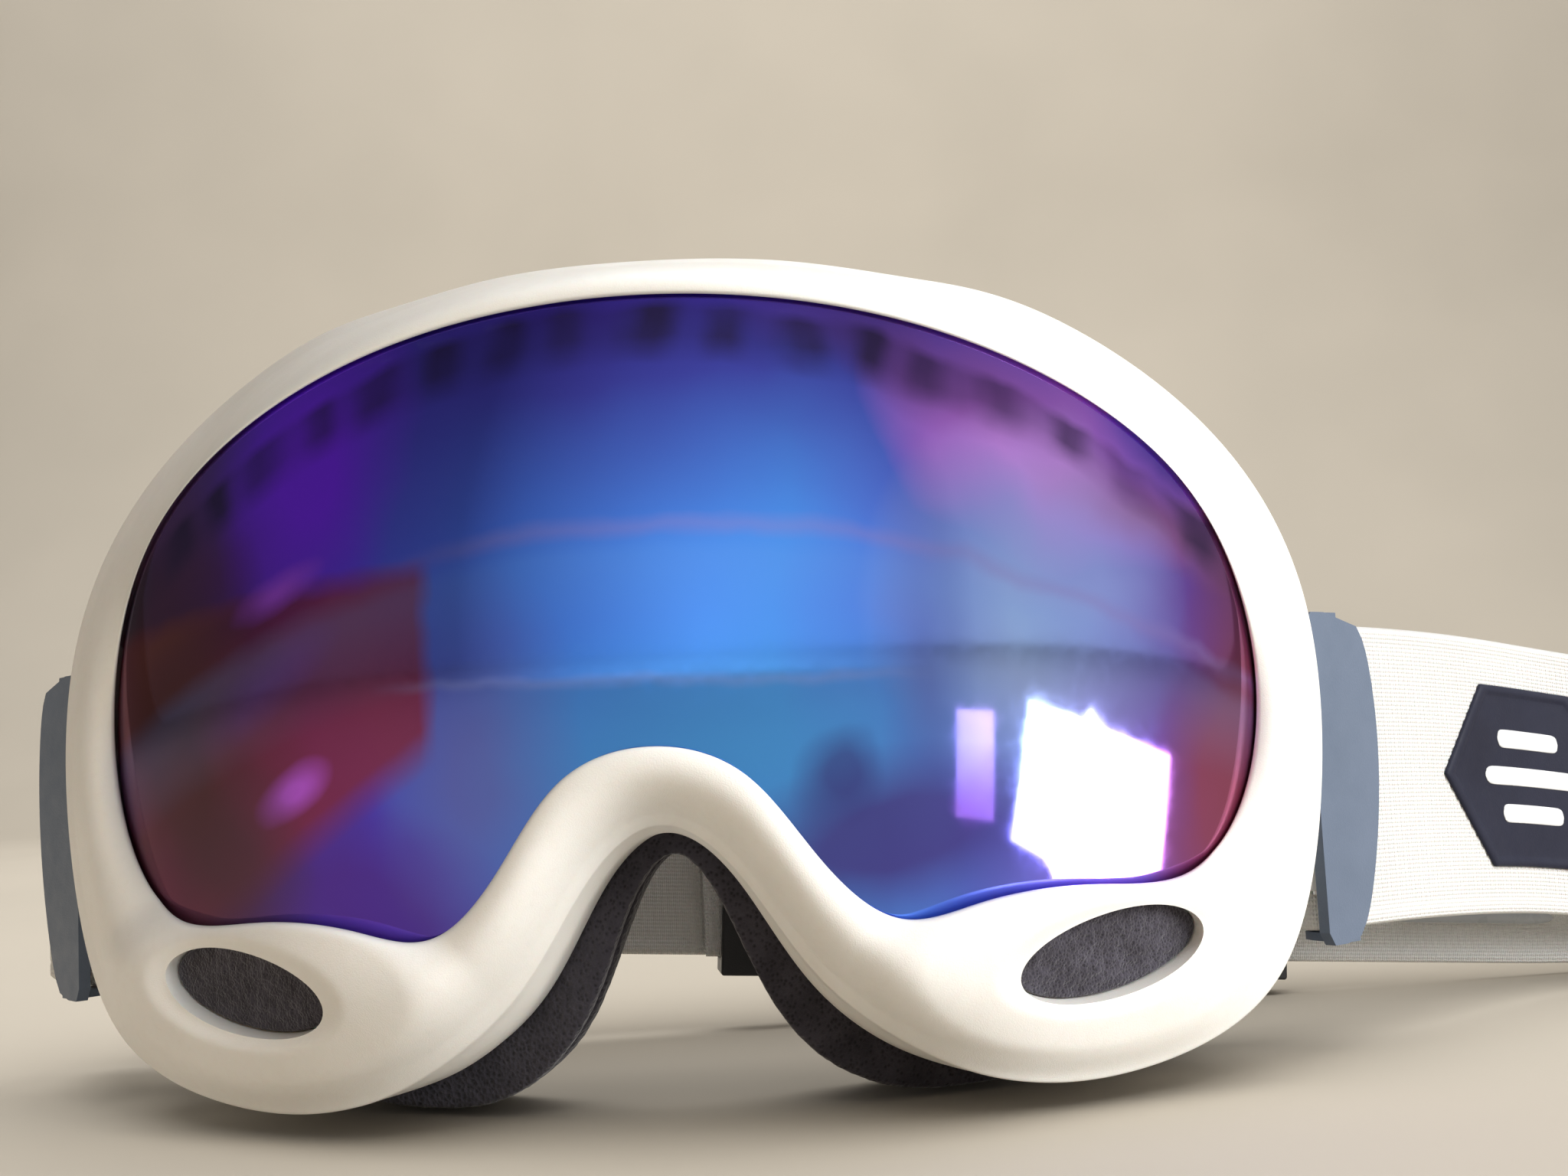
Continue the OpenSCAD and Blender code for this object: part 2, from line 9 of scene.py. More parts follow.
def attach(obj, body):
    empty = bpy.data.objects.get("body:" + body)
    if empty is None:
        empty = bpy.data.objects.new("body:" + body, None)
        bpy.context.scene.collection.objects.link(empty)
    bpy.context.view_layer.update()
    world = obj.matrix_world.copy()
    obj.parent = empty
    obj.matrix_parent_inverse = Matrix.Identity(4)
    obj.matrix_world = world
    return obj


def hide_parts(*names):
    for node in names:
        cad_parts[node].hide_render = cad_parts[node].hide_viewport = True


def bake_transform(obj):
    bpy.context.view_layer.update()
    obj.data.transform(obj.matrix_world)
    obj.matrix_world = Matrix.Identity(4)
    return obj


# Ski goggles. Shapes are worked out in millimetres in the goggles' own frame, where the
# front of the lens is at y = 0 and x = 0 is the middle, and row() takes them to the row frame.
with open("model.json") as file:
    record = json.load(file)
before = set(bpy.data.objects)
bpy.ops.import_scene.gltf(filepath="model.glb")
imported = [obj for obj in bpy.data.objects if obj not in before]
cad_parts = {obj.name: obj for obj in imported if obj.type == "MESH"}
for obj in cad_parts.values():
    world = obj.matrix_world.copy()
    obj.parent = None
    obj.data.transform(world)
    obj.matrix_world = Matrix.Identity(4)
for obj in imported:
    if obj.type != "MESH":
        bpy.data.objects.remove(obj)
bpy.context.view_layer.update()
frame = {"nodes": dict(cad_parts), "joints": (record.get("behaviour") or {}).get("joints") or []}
joints = {j["name"]: j for j in frame["joints"]}
HINGE = np.array([88.3, 54.0, 38.0])
SHIFT = np.array(joints["right_outrigger_hinge"]["pos_m"]) * 1000 - HINGE


def row(p):
    return (np.asarray(p, float) + SHIFT) / 1000


# Camera and light -------------------------------------------------------------------
def rotation(yaw, pitch, roll):
    return (Matrix.Rotation(math.radians(yaw), 3, "Z") @ Matrix.Rotation(math.radians(pitch), 3, "X")
            @ Matrix.Rotation(math.radians(roll), 3, "Y"))


def make_camera(at, yaw, pitch, roll, focal):
    data = bpy.data.cameras.new("camera")
    data.sensor_width, data.lens, data.clip_start = 36, focal, 0.01
    cam = bpy.data.objects.new("camera", data)
    bpy.context.scene.collection.objects.link(cam)
    turn = rotation(yaw, pitch, roll) @ Matrix.Rotation(math.radians(90), 3, "X")
    cam.matrix_world = Matrix.Translation(row(at)) @ turn.to_4x4()
    bpy.context.scene.camera = cam


make_camera((23.5, -202.3, 45.0), 2.0, 5.37, 2.8, 40.43)


def area_light(name, at, to, size, power, colour=(1, 1, 1), only=None, turn=0, spread=180):
    data = bpy.data.lights.new(name, "AREA")
    data.shape, data.size, data.size_y, data.energy, data.color = "RECTANGLE", *size, power, colour
    data.spread = math.radians(spread)
    lamp = bpy.data.objects.new(name, data)
    bpy.context.scene.collection.objects.link(lamp)
    a, b = Vector(row(at)), Vector(row(to))
    lamp.matrix_world = (Matrix.Translation(a) @ (b - a).to_track_quat("-Z", "Y").to_matrix().to_4x4()
                         @ Matrix.Rotation(math.radians(turn), 4, "Z"))
    lamp.visible_camera = False
    if only:
        group = bpy.data.collections.new(name + "_lit")
        for o in only:
            group.objects.link(o)
        lamp.light_linking.receiver_collection = group
    return lamp


# Curves and surfaces of the goggles ----------------------------------------------------
APERTURE = [(0, 101), (27, 98.5), (50, 91), (68.5, 79.5), (77, 64.5), (79, 48), (74.5, 33.5),
            (65, 25.5), (51, 28), (37.5, 27), (27.5, 23), (18.5, 32.5), (11.5, 44.5), (0, 47.7)]
BEAD = [(0, 106.7), (18, 107), (34, 105.5), (50, 106), (76, 90.5), (91, 64.5), (87, 25.5),
        (77, 7.5), (56, 2), (42, 3), (32, 6.5), (17.5, 16.5), (9.5, 32), (0, 39.8)]
FLANGE = [(0, 104), (20, 104), (37, 102.5), (54, 99), (72, 85), (84, 62), (83, 28),
          (72, 11), (54, 4.5), (40, 3.5), (28, 6), (16, 15.5), (8.8, 31), (0, 38.5)]
FOAM_EDGE = [(0, 104), (20, 104), (37, 102.5), (54, 99), (72, 85), (84, 62), (83, 28),
             (72, 9), (54, 1.5), (38, -1), (23, -0.5), (11, 10), (6, 26), (0, 35.5)]
FACE_HOLE = [(0, 91), (20, 91), (36, 89), (50, 84), (62, 73), (70, 58), (70, 34),
             (62, 20), (52, 14.5), (42, 13.5), (32, 16), (23, 26), (15, 39), (0, 46)]
LENS_MIDDLE = np.array([0.0, 70.0])
LENS_T, LENS_GAP, INNER_T, SLACK = 1.4, 3.2, 1.0, 0.3
LENS_R, LENS_TALL_R, LENS_MID_Z = 100, 200, 65.5      # radii across and up, level of the foremost point
FACE_R, FACE_BACK = 121, 30                           # the face side's radius and depth at the middle
TOP_R = 110                                           # radius of the row of slots on top
VENT_AT, VENT_L, VENT_H, VENT_RISE = np.array([54.2, 17.1, 18.6]), 27.0, 10.6, 2.2
VENT_DIP, VENT_YAW, VENT_TILT = 8, 14, 6


def weights(f):
    return ((1 - f) ** 3 / 6, (3 * f ** 3 - 6 * f ** 2 + 4) / 6,
            (-3 * f ** 3 + 3 * f ** 2 + 3 * f + 1) / 6, f ** 3 / 6)


def closed_curve(points, n):
    """n points round the closed cubic B-spline of these control points, along the first axis."""
    c = np.asarray(points, float)
    s = np.arange(n) * len(c) / n
    i = np.floor(s).astype(int)
    w = [v.reshape((-1,) + (1,) * (c.ndim - 1)) for v in weights(s - i)]
    return sum(w[k] * c[(i + k - 1) % len(c)] for k in range(4))


def open_curve(points, per=40):
    """A cubic B-spline through its first and last control points."""
    c = np.asarray(points, float)
    c = np.vstack([2 * c[0] - c[1], c, 2 * c[-1] - c[-2]])
    s = np.linspace(0, len(c) - 3, (len(c) - 3) * per + 1)
    i = np.minimum(np.floor(s).astype(int), len(c) - 4)
    w = [v[:, None] for v in weights(s - i)]
    return sum(w[k] * c[i + k] for k in range(4))


def outline(half, n):
    return closed_curve(list(half) + [(-x, z) for x, z in half[-2:0:-1]], n)


def sag(r, x):
    return r - np.sqrt(r ** 2 - x ** 2)


def lens_y(p):
    return sag(LENS_R, p[..., 0]) + sag(LENS_TALL_R, p[..., 1] - LENS_MID_Z)


def face_y(p):
    x, z = p[..., 0], p[..., 1]
    return FACE_BACK + sag(FACE_R, x) - 10 * np.exp(-(x / 20) ** 2) * np.exp(-(np.maximum(z - 22, 0) / 26) ** 2)


def smooth(f):
    g = np.clip(f, 0, 1)
    return g * g * (3 - 2 * g)


def mix(a, b, f):
    return a + (b - a) * f


def toward(a, b, d):
    v = b - a
    return a + v * np.minimum(d / np.linalg.norm(v, axis=-1, keepdims=True), 1)


def lifted(p, y):
    return np.stack([p[..., 0], y, p[..., 1]], -1)


def vent_radius(p):
    """Distance from a lower vent's middle, 1 on the edge of its oval opening."""
    x, z = np.abs(p[..., 0]) - VENT_AT[0], p[..., 1] - VENT_AT[2]
    t = math.radians(VENT_TILT)
    u, v = x * math.cos(t) + z * math.sin(t), z * math.cos(t) - x * math.sin(t)
    return np.hypot(u / (VENT_L / 2 * 0.905), v / (VENT_H / 2))


def front_y(a, b, f):
    """Front of the frame from the lens edge (f = 0) to its widest line (f = 1)."""
    p = mix(a, b, f)
    plateau = smooth(3.2 - 2.9 * np.hypot((np.abs(p[..., 0]) - 52) / 28, (p[..., 1] - 18) / 13.5))
    lip = 1.5 * smooth((1.32 - vent_radius(p)) / 0.4)
    return (lens_y(a) - 0.9 + 8.9 * f ** 1.6 - 1.5 * math.sin(math.radians(180 * min(f * 1.2, 1)))
            - VENT_RISE * plateau + lip)


# Mesh helpers -------------------------------------------------------------------------
def new_object(name, verts, faces, uv=None, angle=40):
    mesh = bpy.data.meshes.new(name)
    mesh.from_pydata(verts.tolist(), [], faces)
    if uv is not None:
        layer = mesh.uv_layers.new(name="UVMap")
        loops = np.zeros(len(mesh.loops), np.int32)
        mesh.loops.foreach_get("vertex_index", loops)
        layer.data.foreach_set("uv", uv[loops].ravel())
    bm = bmesh.new()
    bm.from_mesh(mesh)
    bmesh.ops.recalc_face_normals(bm, faces=bm.faces)
    bm.to_mesh(mesh)
    bm.free()
    mesh.polygons.foreach_set("use_smooth", [True] * len(mesh.polygons))
    mesh.set_sharp_from_angle(angle=math.radians(angle))
    o = bpy.data.objects.new(name, mesh)
    bpy.context.scene.collection.objects.link(o)
    return o


def quads(rows, cols, start=0, close_rows=True, close_cols=True):
    r = np.arange(rows if close_rows else rows - 1)
    c = np.arange(cols if close_cols else cols - 1)
    i, j = np.meshgrid(r, c, indexing="ij")
    a, b = i * cols + j, i * cols + (j + 1) % cols
    d, e = ((i + 1) % rows) * cols + j, ((i + 1) % rows) * cols + (j + 1) % cols
    return (np.stack([a, b, e, d], -1).reshape(-1, 4) + start).tolist()


def loft(name, pts, closed=True, uv=None, angle=40):
    """A solid through closed sections, pts[section, point]: a ring, or a bar with two ends."""
    rows, cols = pts.shape[:2]
    faces = quads(rows, cols, close_rows=closed)
    if not closed:
        faces += [list(range(cols))[::-1], [(rows - 1) * cols + j for j in range(cols)]]
    return new_object(name, row(pts.reshape(-1, 3)), faces,
                      None if uv is None else uv.reshape(-1, 2), angle)


def joined(name, parts):
    """One object from several (points, closed) lofts."""
    verts, faces, n = [], [], 0
    for pts, closed in parts:
        rows, cols = pts.shape[:2]
        verts.append(pts.reshape(-1, 3))
        faces += quads(rows, cols, n, close_rows=closed)
        if not closed:
            faces += [[n + j for j in range(cols)][::-1], [n + (rows - 1) * cols + j for j in range(cols)]]
        n += rows * cols
    return new_object(name, row(np.vstack(verts)), faces)


def tube(path, radius, sides=8):
    """Sections of a round thread along a path, rounded off at both ends."""
    p = np.asarray(path, float)
    d = np.gradient(p, axis=0)
    d /= np.linalg.norm(d, axis=1, keepdims=True)
    side = np.cross(d, [0.13, 0.21, 0.97])
    side /= np.linalg.norm(side, axis=1, keepdims=True)
    up = np.cross(side, d)
    f = np.linspace(0, 1, len(p))
    r = radius * np.sqrt(np.clip(1 - np.abs(2 * f - 1) ** 8, 0.06, 1))
    a = np.arange(sides) * 2 * math.pi / sides
    return (p[:, None] + r[:, None, None] * (side[:, None] * np.cos(a)[None, :, None]
                                             + up[:, None] * np.sin(a)[None, :, None]))


def lattice_noise(p, seed):
    """Smooth noise from 0 to 1 on a unit lattice, the same on every run."""
    i = np.floor(p).astype(np.int64)
    f = p - i
    f = f * f * (3 - 2 * f)
    total = 0
    for k in range(8):
        o = np.array([k & 1, k >> 1 & 1, k >> 2])
        c = i + o
        h = np.sin(c[..., 0] * 127.1 + c[..., 1] * 311.7 + c[..., 2] * 74.7 + seed * 53.3) * 43758.5453
        total = total + (h - np.floor(h)) * np.prod(np.where(o == 1, f, 1 - f), -1)
    return total


# Materials ----------------------------------------------------------------------------
class Shader:
    """A Principled material with helpers that add its nodes."""

    def __init__(self, name, **sockets):
        self.mat = bpy.data.materials.new(name)
        self.mat.use_nodes = True
        self.tree = self.mat.node_tree
        self.bsdf = self.tree.nodes["Principled BSDF"]
        for key, value in sockets.items():
            self.bsdf.inputs[key.replace("_", " ")].default_value = value
        self.place = self.node("ShaderNodeTexCoord")

    def node(self, kind, **props):
        n = self.tree.nodes.new(kind)
        for key, value in props.items():
            setattr(n, key, value)
        return n

    def link(self, a, b):
        self.tree.links.new(a, b)

    def set(self, node, **values):
        for key, value in values.items():
            socket = node.inputs[key.replace("_", " ")]
            if isinstance(value, bpy.types.NodeSocket):
                self.link(value, socket)
            else:
                socket.default_value = value
        return node

    def noise(self, scale, detail=3, rough=0.55, at=None):
        n = self.set(self.node("ShaderNodeTexNoise"), Scale=scale, Detail=detail, Roughness=rough)
        self.link(at or self.place.outputs["Object"], n.inputs["Vector"])
        return n.outputs["Fac"]

    def cells(self, scale):
        n = self.node("ShaderNodeTexVoronoi", feature="F1")
        n.inputs["Scale"].default_value = scale
        self.link(self.place.outputs["Object"], n.inputs["Vector"])
        return n.outputs["Distance"]

    def ramp(self, fac, stops):
        """Colours or grey values at positions from 0 to 1."""
        n = self.node("ShaderNodeValToRGB")
        n.color_ramp.interpolation = "LINEAR"
        while len(n.color_ramp.elements) < len(stops):
            n.color_ramp.elements.new(0.5)
        for e, (at, colour) in zip(n.color_ramp.elements, stops):
            e.position = at
            e.color = (*colour, 1) if hasattr(colour, "__len__") else (colour,) * 3 + (1,)
        self.link(fac, n.inputs["Fac"])
        return n.outputs["Color"]

    def math(self, op, a, b=0.0, clamp=False):
        n = self.node("ShaderNodeMath", operation=op, use_clamp=clamp)
        for k, v in enumerate((a, b)):
            if isinstance(v, bpy.types.NodeSocket):
                self.link(v, n.inputs[k])
            else:
                n.inputs[k].default_value = v
        return n.outputs[0]

    def blend(self, fac, a, b):
        """a where fac is 0, b where it is 1."""
        n = self.node("ShaderNodeMix", data_type="RGBA", blend_type="MIX")
        for k, v in ((0, fac), (6, a), (7, b)):
            if isinstance(v, bpy.types.NodeSocket):
                self.link(v, n.inputs[k])
            else:
                n.inputs[k].default_value = v if k == 0 else (*v, 1)
        return n.outputs[2]

    def bump(self, height, distance, strength=1.0, after=None):
        n = self.set(self.node("ShaderNodeBump"), Height=height, Distance=distance, Strength=strength)
        if after:
            self.link(after, n.inputs["Normal"])
        return n.outputs["Normal"]

    def finish(self, **sockets):
        for key, value in sockets.items():
            self.link(value, self.bsdf.inputs[key.replace("_", " ")])
        return self.mat


def white_frame():
    s = Shader("white_frame", Roughness=0.36, Subsurface_Weight=0.1, Subsurface_Scale=0.002,
               Coat_Weight=0.12, Coat_Roughness=0.25, IOR=1.5)
    cloud = s.ramp(s.noise(38, 4), [(0.3, (0.80, 0.785, 0.745)), (0.72, (0.88, 0.872, 0.845))])
    scuff = s.ramp(s.noise(900, 2), [(0.52, 0.0), (0.74, 1.0)])
    colour = s.blend(s.math("MULTIPLY", scuff, 0.10), cloud, (0.70, 0.66, 0.58))
    rough = s.ramp(s.noise(260, 3), [(0.3, 0.30), (0.75, 0.44)])
    grain = s.bump(s.noise(5200, 1), 0.00004, 0.6)
    return s.finish(Base_Color=colour, Roughness=rough, Normal=s.bump(s.noise(120, 2), 0.0002, 0.3, grain))


def mirror_lens():
    """Azure in the middle, violet towards the sides and top, brown and maroon at the edge: partly the mirror
    coating's own colour, partly painted reflections of the room. The ovals, the dark red shape, the glints and
    the soft lines on it are painted reflections and painted highlights.
    """
    s = Shader("mirror_lens", Metallic=0.92, Roughness=0.08, Coat_Weight=0.35, Coat_Roughness=0.04,
               Specular_IOR_Level=0.8, Specular_Tint=(0.40, 0.32, 0.42, 1), Alpha=0.95)
    shifted = s.node("ShaderNodeMapping")
    shifted.inputs["Location"].default_value = [-v / 1000 for v in (SHIFT[0], SHIFT[1], SHIFT[2] + LENS_MID_Z)]
    s.link(s.place.outputs["Object"], shifted.inputs["Vector"])
    mm = s.node("ShaderNodeVectorMath", operation="SCALE")
    mm.inputs["Scale"].default_value = 1000
    s.link(shifted.outputs["Vector"], mm.inputs[0])
    xyz = s.node("ShaderNodeSeparateXYZ")
    s.link(mm.outputs["Vector"], xyz.inputs["Vector"])
    wobble = s.math("SUBTRACT", s.noise(26, 2), 0.5)
    fine = s.math("SUBTRACT", s.noise(90, 2), 0.5)
    x = s.math("ADD", xyz.outputs["X"], s.math("MULTIPLY", fine, 3))
    z = s.math("ADD", xyz.outputs["Z"], s.math("MULTIPLY", fine, 3))
    xw = s.math("ADD", x, s.math("MULTIPLY", wobble, 16))
    zw = s.math("ADD", z, s.math("MULTIPLY", wobble, 12))

    def at(value, low, high):
        """0 to 1 from low to high."""
        return s.math("DIVIDE", s.math("SUBTRACT", value, low), high - low, True)

    def inside(*sides):
        """1 inside a shape with straight, soft sides, each (x, z, reach, softness)."""
        m = 1.0
        for nx, nz, reach, soft in sides:
            d = s.math("ADD", s.math("MULTIPLY", x, nx), s.math("MULTIPLY", z, nz))
            m = s.math("MULTIPLY", at(d, reach + soft, reach - soft), m)
        return m

    def oval(cx, cz, rx, rz, soft, turn=0.0, px=None, pz=None):
        """1 inside a soft oval."""
        dx, dz = s.math("SUBTRACT", px or xw, cx), s.math("SUBTRACT", pz or zw, cz)
        c, n = math.cos(math.radians(turn)), math.sin(math.radians(turn))
        u = s.math("ADD", s.math("MULTIPLY", dx, c / rx), s.math("MULTIPLY", dz, n / rx))
        v = s.math("SUBTRACT", s.math("MULTIPLY", dz, c / rz), s.math("MULTIPLY", dx, n / rz))
        d = s.math("SQRT", s.math("ADD", s.math("MULTIPLY", u, u), s.math("MULTIPLY", v, v)))
        return at(d, 1 + soft, 1 - soft)

    # Coating colour across the lens and darker towards its top: partly the coating's own colour, partly painted
    # reflections of the room, such as the brown and maroon at the edges.
    across = s.ramp(at(xw, -80, 80), [
        (0.00, (0.07, 0.030, 0.025)), (0.06, (0.12, 0.030, 0.045)), (0.16, (0.11, 0.022, 0.28)),
        (0.28, (0.10, 0.070, 0.80)), (0.42, (0.070, 0.24, 0.95)), (0.60, (0.080, 0.34, 1.00)),
        (0.72, (0.12, 0.22, 0.92)), (0.84, (0.22, 0.14, 0.72)), (0.93, (0.16, 0.060, 0.34)),
        (1.00, (0.14, 0.050, 0.060))])
    top = s.ramp(at(zw, 4, 34), [(0.0, 0.0), (0.3, 0.35), (0.7, 0.85), (1.0, 1.0)])
    colour = s.blend(top, across, (0.060, 0.030, 0.42))

    def tint(mask, amount, colour, to):
        return s.blend(s.math("MULTIPLY", mask, amount), colour, to)

    # Painted reflections and painted highlights of the room: soft ovals of violet, magenta and pale blue glow,
    # and dark patches.
    colour = tint(oval(-42, 16, 10, 15, 0.6, -20), 0.9, colour, (0.22, 0.020, 1.00))
    colour = tint(oval(-64, 22, 9, 22, 0.6, -22), 0.8, colour, (0.10, 0.045, 0.16))
    colour = tint(oval(48, 15, 15, 7, 0.7, -28), 1.0, colour, (0.78, 0.26, 1.00))
    colour = tint(oval(64, 6, 12, 3.5, 0.7, -28), 0.6, colour, (0.32, 0.12, 0.22))
    colour = tint(oval(36, 25, 18, 4, 0.6, -20), 0.6, colour, (0.15, 0.045, 0.24))
    colour = tint(oval(46, -5, 11, 14, 0.9), 0.95, colour, (0.42, 0.60, 1.00))
    colour = tint(oval(72, -26, 7, 22, 0.6, -8), 0.8, colour, (0.30, 0.060, 0.090))
    colour = tint(oval(8, -20, 24, 10, 0.8), 0.6, colour, (0.075, 0.42, 1.00))
    colour = tint(oval(-34, -36, 18, 9, 0.6, -20), 0.85, colour, (0.10, 0.028, 0.38))
    colour = tint(oval(28, -31, 17, 7, 0.5, 8), 0.85, colour, (0.070, 0.040, 0.30))
    colour = tint(oval(21, -24, 3.4, 4.2, 0.5), 0.7, colour, (0.050, 0.045, 0.30))
    colour = tint(oval(32.5, -12, 3.6, 17, 0.8, px=x, pz=z), 0.5, colour, (0.10, 0.12, 0.52))
    colour = tint(oval(-19, -20, 9, 15, 0.7), 0.6, colour, (0.17, 0.14, 0.52))
    # Painted reflection: a dark red shape with straight sides on the left, with painted violet glints in it.
    corner = inside((1, 0, -26.5, 1.2), (-0.10, 1, 6.2, 1.6), (0.54, -0.84, 0.6, 2.2))
    colour = tint(corner, 0.92, colour, (0.27, 0.030, 0.095))
    colour = tint(s.math("MULTIPLY", corner, oval(-33, -4, 7, 13, 0.7)), 0.6, colour, (0.30, 0.050, 0.13))
    colour = tint(s.math("MULTIPLY", corner, oval(-66, -4, 8, 16, 0.7)), 0.75, colour, (0.44, 0.13, 0.045))
    colour = tint(s.math("MULTIPLY", corner, oval(-52, 0, 12, 4, 0.6, 24)), 0.7, colour, (0.10, 0.012, 0.10))
    colour = tint(oval(-47, 2, 4.5, 1.5, 0.8, 24, x, z), 0.8, colour, (0.50, 0.10, 0.90))
    colour = tint(oval(-50, -10, 8, 2.2, 0.9, 32, x, z), 0.5, colour, (0.26, 0.05, 0.55))
    colour = tint(oval(-45.3, -22.4, 4.6, 2.0, 0.6, 32, x, z), 1.0, colour, (0.62, 0.13, 1.00))
    colour = tint(oval(-57, -31, 9, 9, 0.6, 40), 0.7, colour, (0.11, 0.050, 0.10))
    colour = tint(oval(-64, -20, 13, 24, 0.7, 10), 0.85, colour, (0.060, 0.022, 0.022))
    # Painted shade: a row of soft dark blotches along the top edge, where the foam behind would show through.
    square = s.math("MULTIPLY", x, x)
    edge = s.math("SUBTRACT", s.math("MULTIPLY", square, -0.0052), s.math("SUBTRACT", z, 33.6))
    band = s.math("MULTIPLY", at(edge, -0.6, 0.9), at(edge, 7.5, 4.0))
    wave = s.math("SINE", s.math("MULTIPLY", xw, 2 * math.pi / 8.4))
    spots = s.math("MULTIPLY", at(wave, -0.9, 0.9), s.ramp(s.noise(60, 2), [(0.35, 0.35), (0.6, 1.0)]))
    colour = tint(band, s.math("ADD", s.math("MULTIPLY", spots, 0.6), 0.28), colour, (0.022, 0.012, 0.055))
    # Painted reflections: soft lines across the mirror.
    arch = s.math("SUBTRACT", s.math("MULTIPLY", square, -0.0036), s.math("SUBTRACT", z, 7.0))
    arc = s.math("MULTIPLY", at(s.math("ABSOLUTE", arch), 1.7, 0.2), at(x, -34, -18))
    colour = tint(arc, 0.30, colour, (0.36, 0.28, 0.66))
    under = s.math("MULTIPLY", at(arch, 0.5, 3.5), at(arch, 16, 5))
    colour = tint(under, 0.16, colour, (0.20, 0.46, 1.00))
    line = s.math("ABSOLUTE", s.math("ADD", s.math("MULTIPLY", x, 0.02), s.math("ADD", z, 11.2)))
    line = s.math("MULTIPLY", at(line, 1.0, 0.1), at(s.math("ABSOLUTE", x), 34, 24))
    colour = tint(line, 0.25, colour, (0.34, 0.42, 0.95))
    rough = s.ramp(s.noise(420, 3), [(0.35, 0.06), (0.8, 0.11)])
    return s.finish(Base_Color=colour, Roughness=rough)


def amber_lens():
    s = Shader("amber_lens", Roughness=0.06, Coat_Weight=0.3, Alpha=0.42)
    return s.finish(Base_Color=s.ramp(s.noise(30, 2), [(0.3, (0.42, 0.17, 0.07)), (0.7, (0.50, 0.21, 0.09))]))


def foam(name, dark, light, cell, depth):
    s = Shader(name, Roughness=0.95, Sheen_Weight=0.25, Sheen_Roughness=0.5, Specular_IOR_Level=0.2)
    pores = s.cells(cell)
    mottled = s.ramp(s.noise(cell / 9, 3), [(0.3, dark), (0.7, light)])
    # Painted shade in the pores: the colour darkens towards the pits' middles, where the bump sinks.
    colour = s.blend(s.ramp(pores, [(0.12, 0.75), (0.45, 0.0)]), mottled, tuple(v * 0.25 for v in dark))
    height = s.bump(s.noise(cell * 2.5, 2), depth * 0.4, 0.7, s.bump(pores, depth, 0.9))
    return s.finish(Base_Color=colour, Normal=height)


def fleece():
    s = Shader("fleece", Roughness=0.98, Sheen_Weight=0.6, Sheen_Roughness=0.4, Specular_IOR_Level=0.15)
    stretched = s.node("ShaderNodeMapping")
    stretched.inputs["Scale"].default_value = (1, 0.35, 1)
    s.link(s.place.outputs["Object"], stretched.inputs["Vector"])
    fibre = s.noise(2600, 4, 0.7, stretched.outputs["Vector"])
    # The fibre noise sets both tone and height, so the colour is darker where the fibres lie low: partly the
    # fibres' own tone, partly painted shade between them.
    colour = s.ramp(fibre, [(0.3, (0.016, 0.015, 0.019)), (0.7, (0.055, 0.052, 0.062))])
    return s.finish(Base_Color=colour, Normal=s.bump(s.noise(420, 3), 0.0003, 0.6, s.bump(fibre, 0.0002, 0.9)))


def plastic(name, dark, light, rough, grain=3600, **more):
    s = Shader(name, Roughness=rough, IOR=1.5, **more)
    colour = s.ramp(s.noise(60, 4), [(0.3, dark), (0.7, light)])
    roughness = s.ramp(s.noise(300, 3), [(0.3, max(rough - 0.07, 0)), (0.7, rough + 0.07)])
    return s.finish(Base_Color=colour, Roughness=roughness, Normal=s.bump(s.noise(grain, 2), 0.00006, 0.6))


def webbing():
    """Ribbed elastic: cords along its length under fine threads across its width."""
    s = Shader("white_webbing", Roughness=0.82, Sheen_Weight=0.25, Sheen_Roughness=0.45,
               Specular_IOR_Level=0.3, Subsurface_Weight=0.06, Subsurface_Scale=0.001)
    uv = s.place.outputs["UV"]
    ribs = s.node("ShaderNodeTexWave", wave_type="BANDS", bands_direction="Y", wave_profile="SIN")
    s.set(ribs, Scale=500.0, Distortion=0.6, Detail=1.0, Detail_Scale=3.0)
    s.link(uv, ribs.inputs["Vector"])
    threads = s.node("ShaderNodeTexWave", wave_type="BANDS", bands_direction="X", wave_profile="SIN")
    s.set(threads, Scale=900.0, Distortion=1.0, Detail=1.0, Detail_Scale=4.0)
    s.link(uv, threads.inputs["Vector"])
    weave = s.math("MULTIPLY", s.math("ADD", ribs.outputs["Fac"], 0.4),
                   s.math("ADD", threads.outputs["Fac"], 0.6))
    cloud = s.ramp(s.noise(34, 4), [(0.3, (0.78, 0.775, 0.75)), (0.75, (0.87, 0.868, 0.85))])
    # Painted shade in the weave: darker where the ribs and threads sink.
    colour = s.blend(s.ramp(weave, [(0.25, 0.34), (0.9, 0.0)]), cloud, (0.52, 0.51, 0.49))
    height = s.bump(s.noise(2800, 2), 0.00005, 0.6, s.bump(weave, 0.00016, 0.8))
    return s.finish(Base_Color=colour, Normal=height)


def thread(name, colour):
    s = Shader(name, Roughness=0.7, Sheen_Weight=0.2)
    twist = s.noise(3000, 2)
    dark = tuple(v * 0.62 for v in colour)
    # Painted shade in the twist: darker where the bump of the twist sinks.
    return s.finish(Base_Color=s.ramp(twist, [(0.35, dark), (0.65, colour)]), Normal=s.bump(twist, 0.0001, 0.7))


def steel():
    s = Shader("steel", Metallic=1.0, Roughness=0.28)
    drawn = s.node("ShaderNodeMapping")
    drawn.inputs["Scale"].default_value = (1, 1, 0.05)
    s.link(s.place.outputs["Object"], drawn.inputs["Vector"])
    lines = s.noise(4200, 2, 0.5, drawn.outputs["Vector"])
    return s.finish(Base_Color=s.ramp(lines, [(0.3, (0.50, 0.50, 0.51)), (0.7, (0.66, 0.66, 0.68))]),
                    Roughness=s.ramp(lines, [(0.3, 0.22), (0.7, 0.36)]))


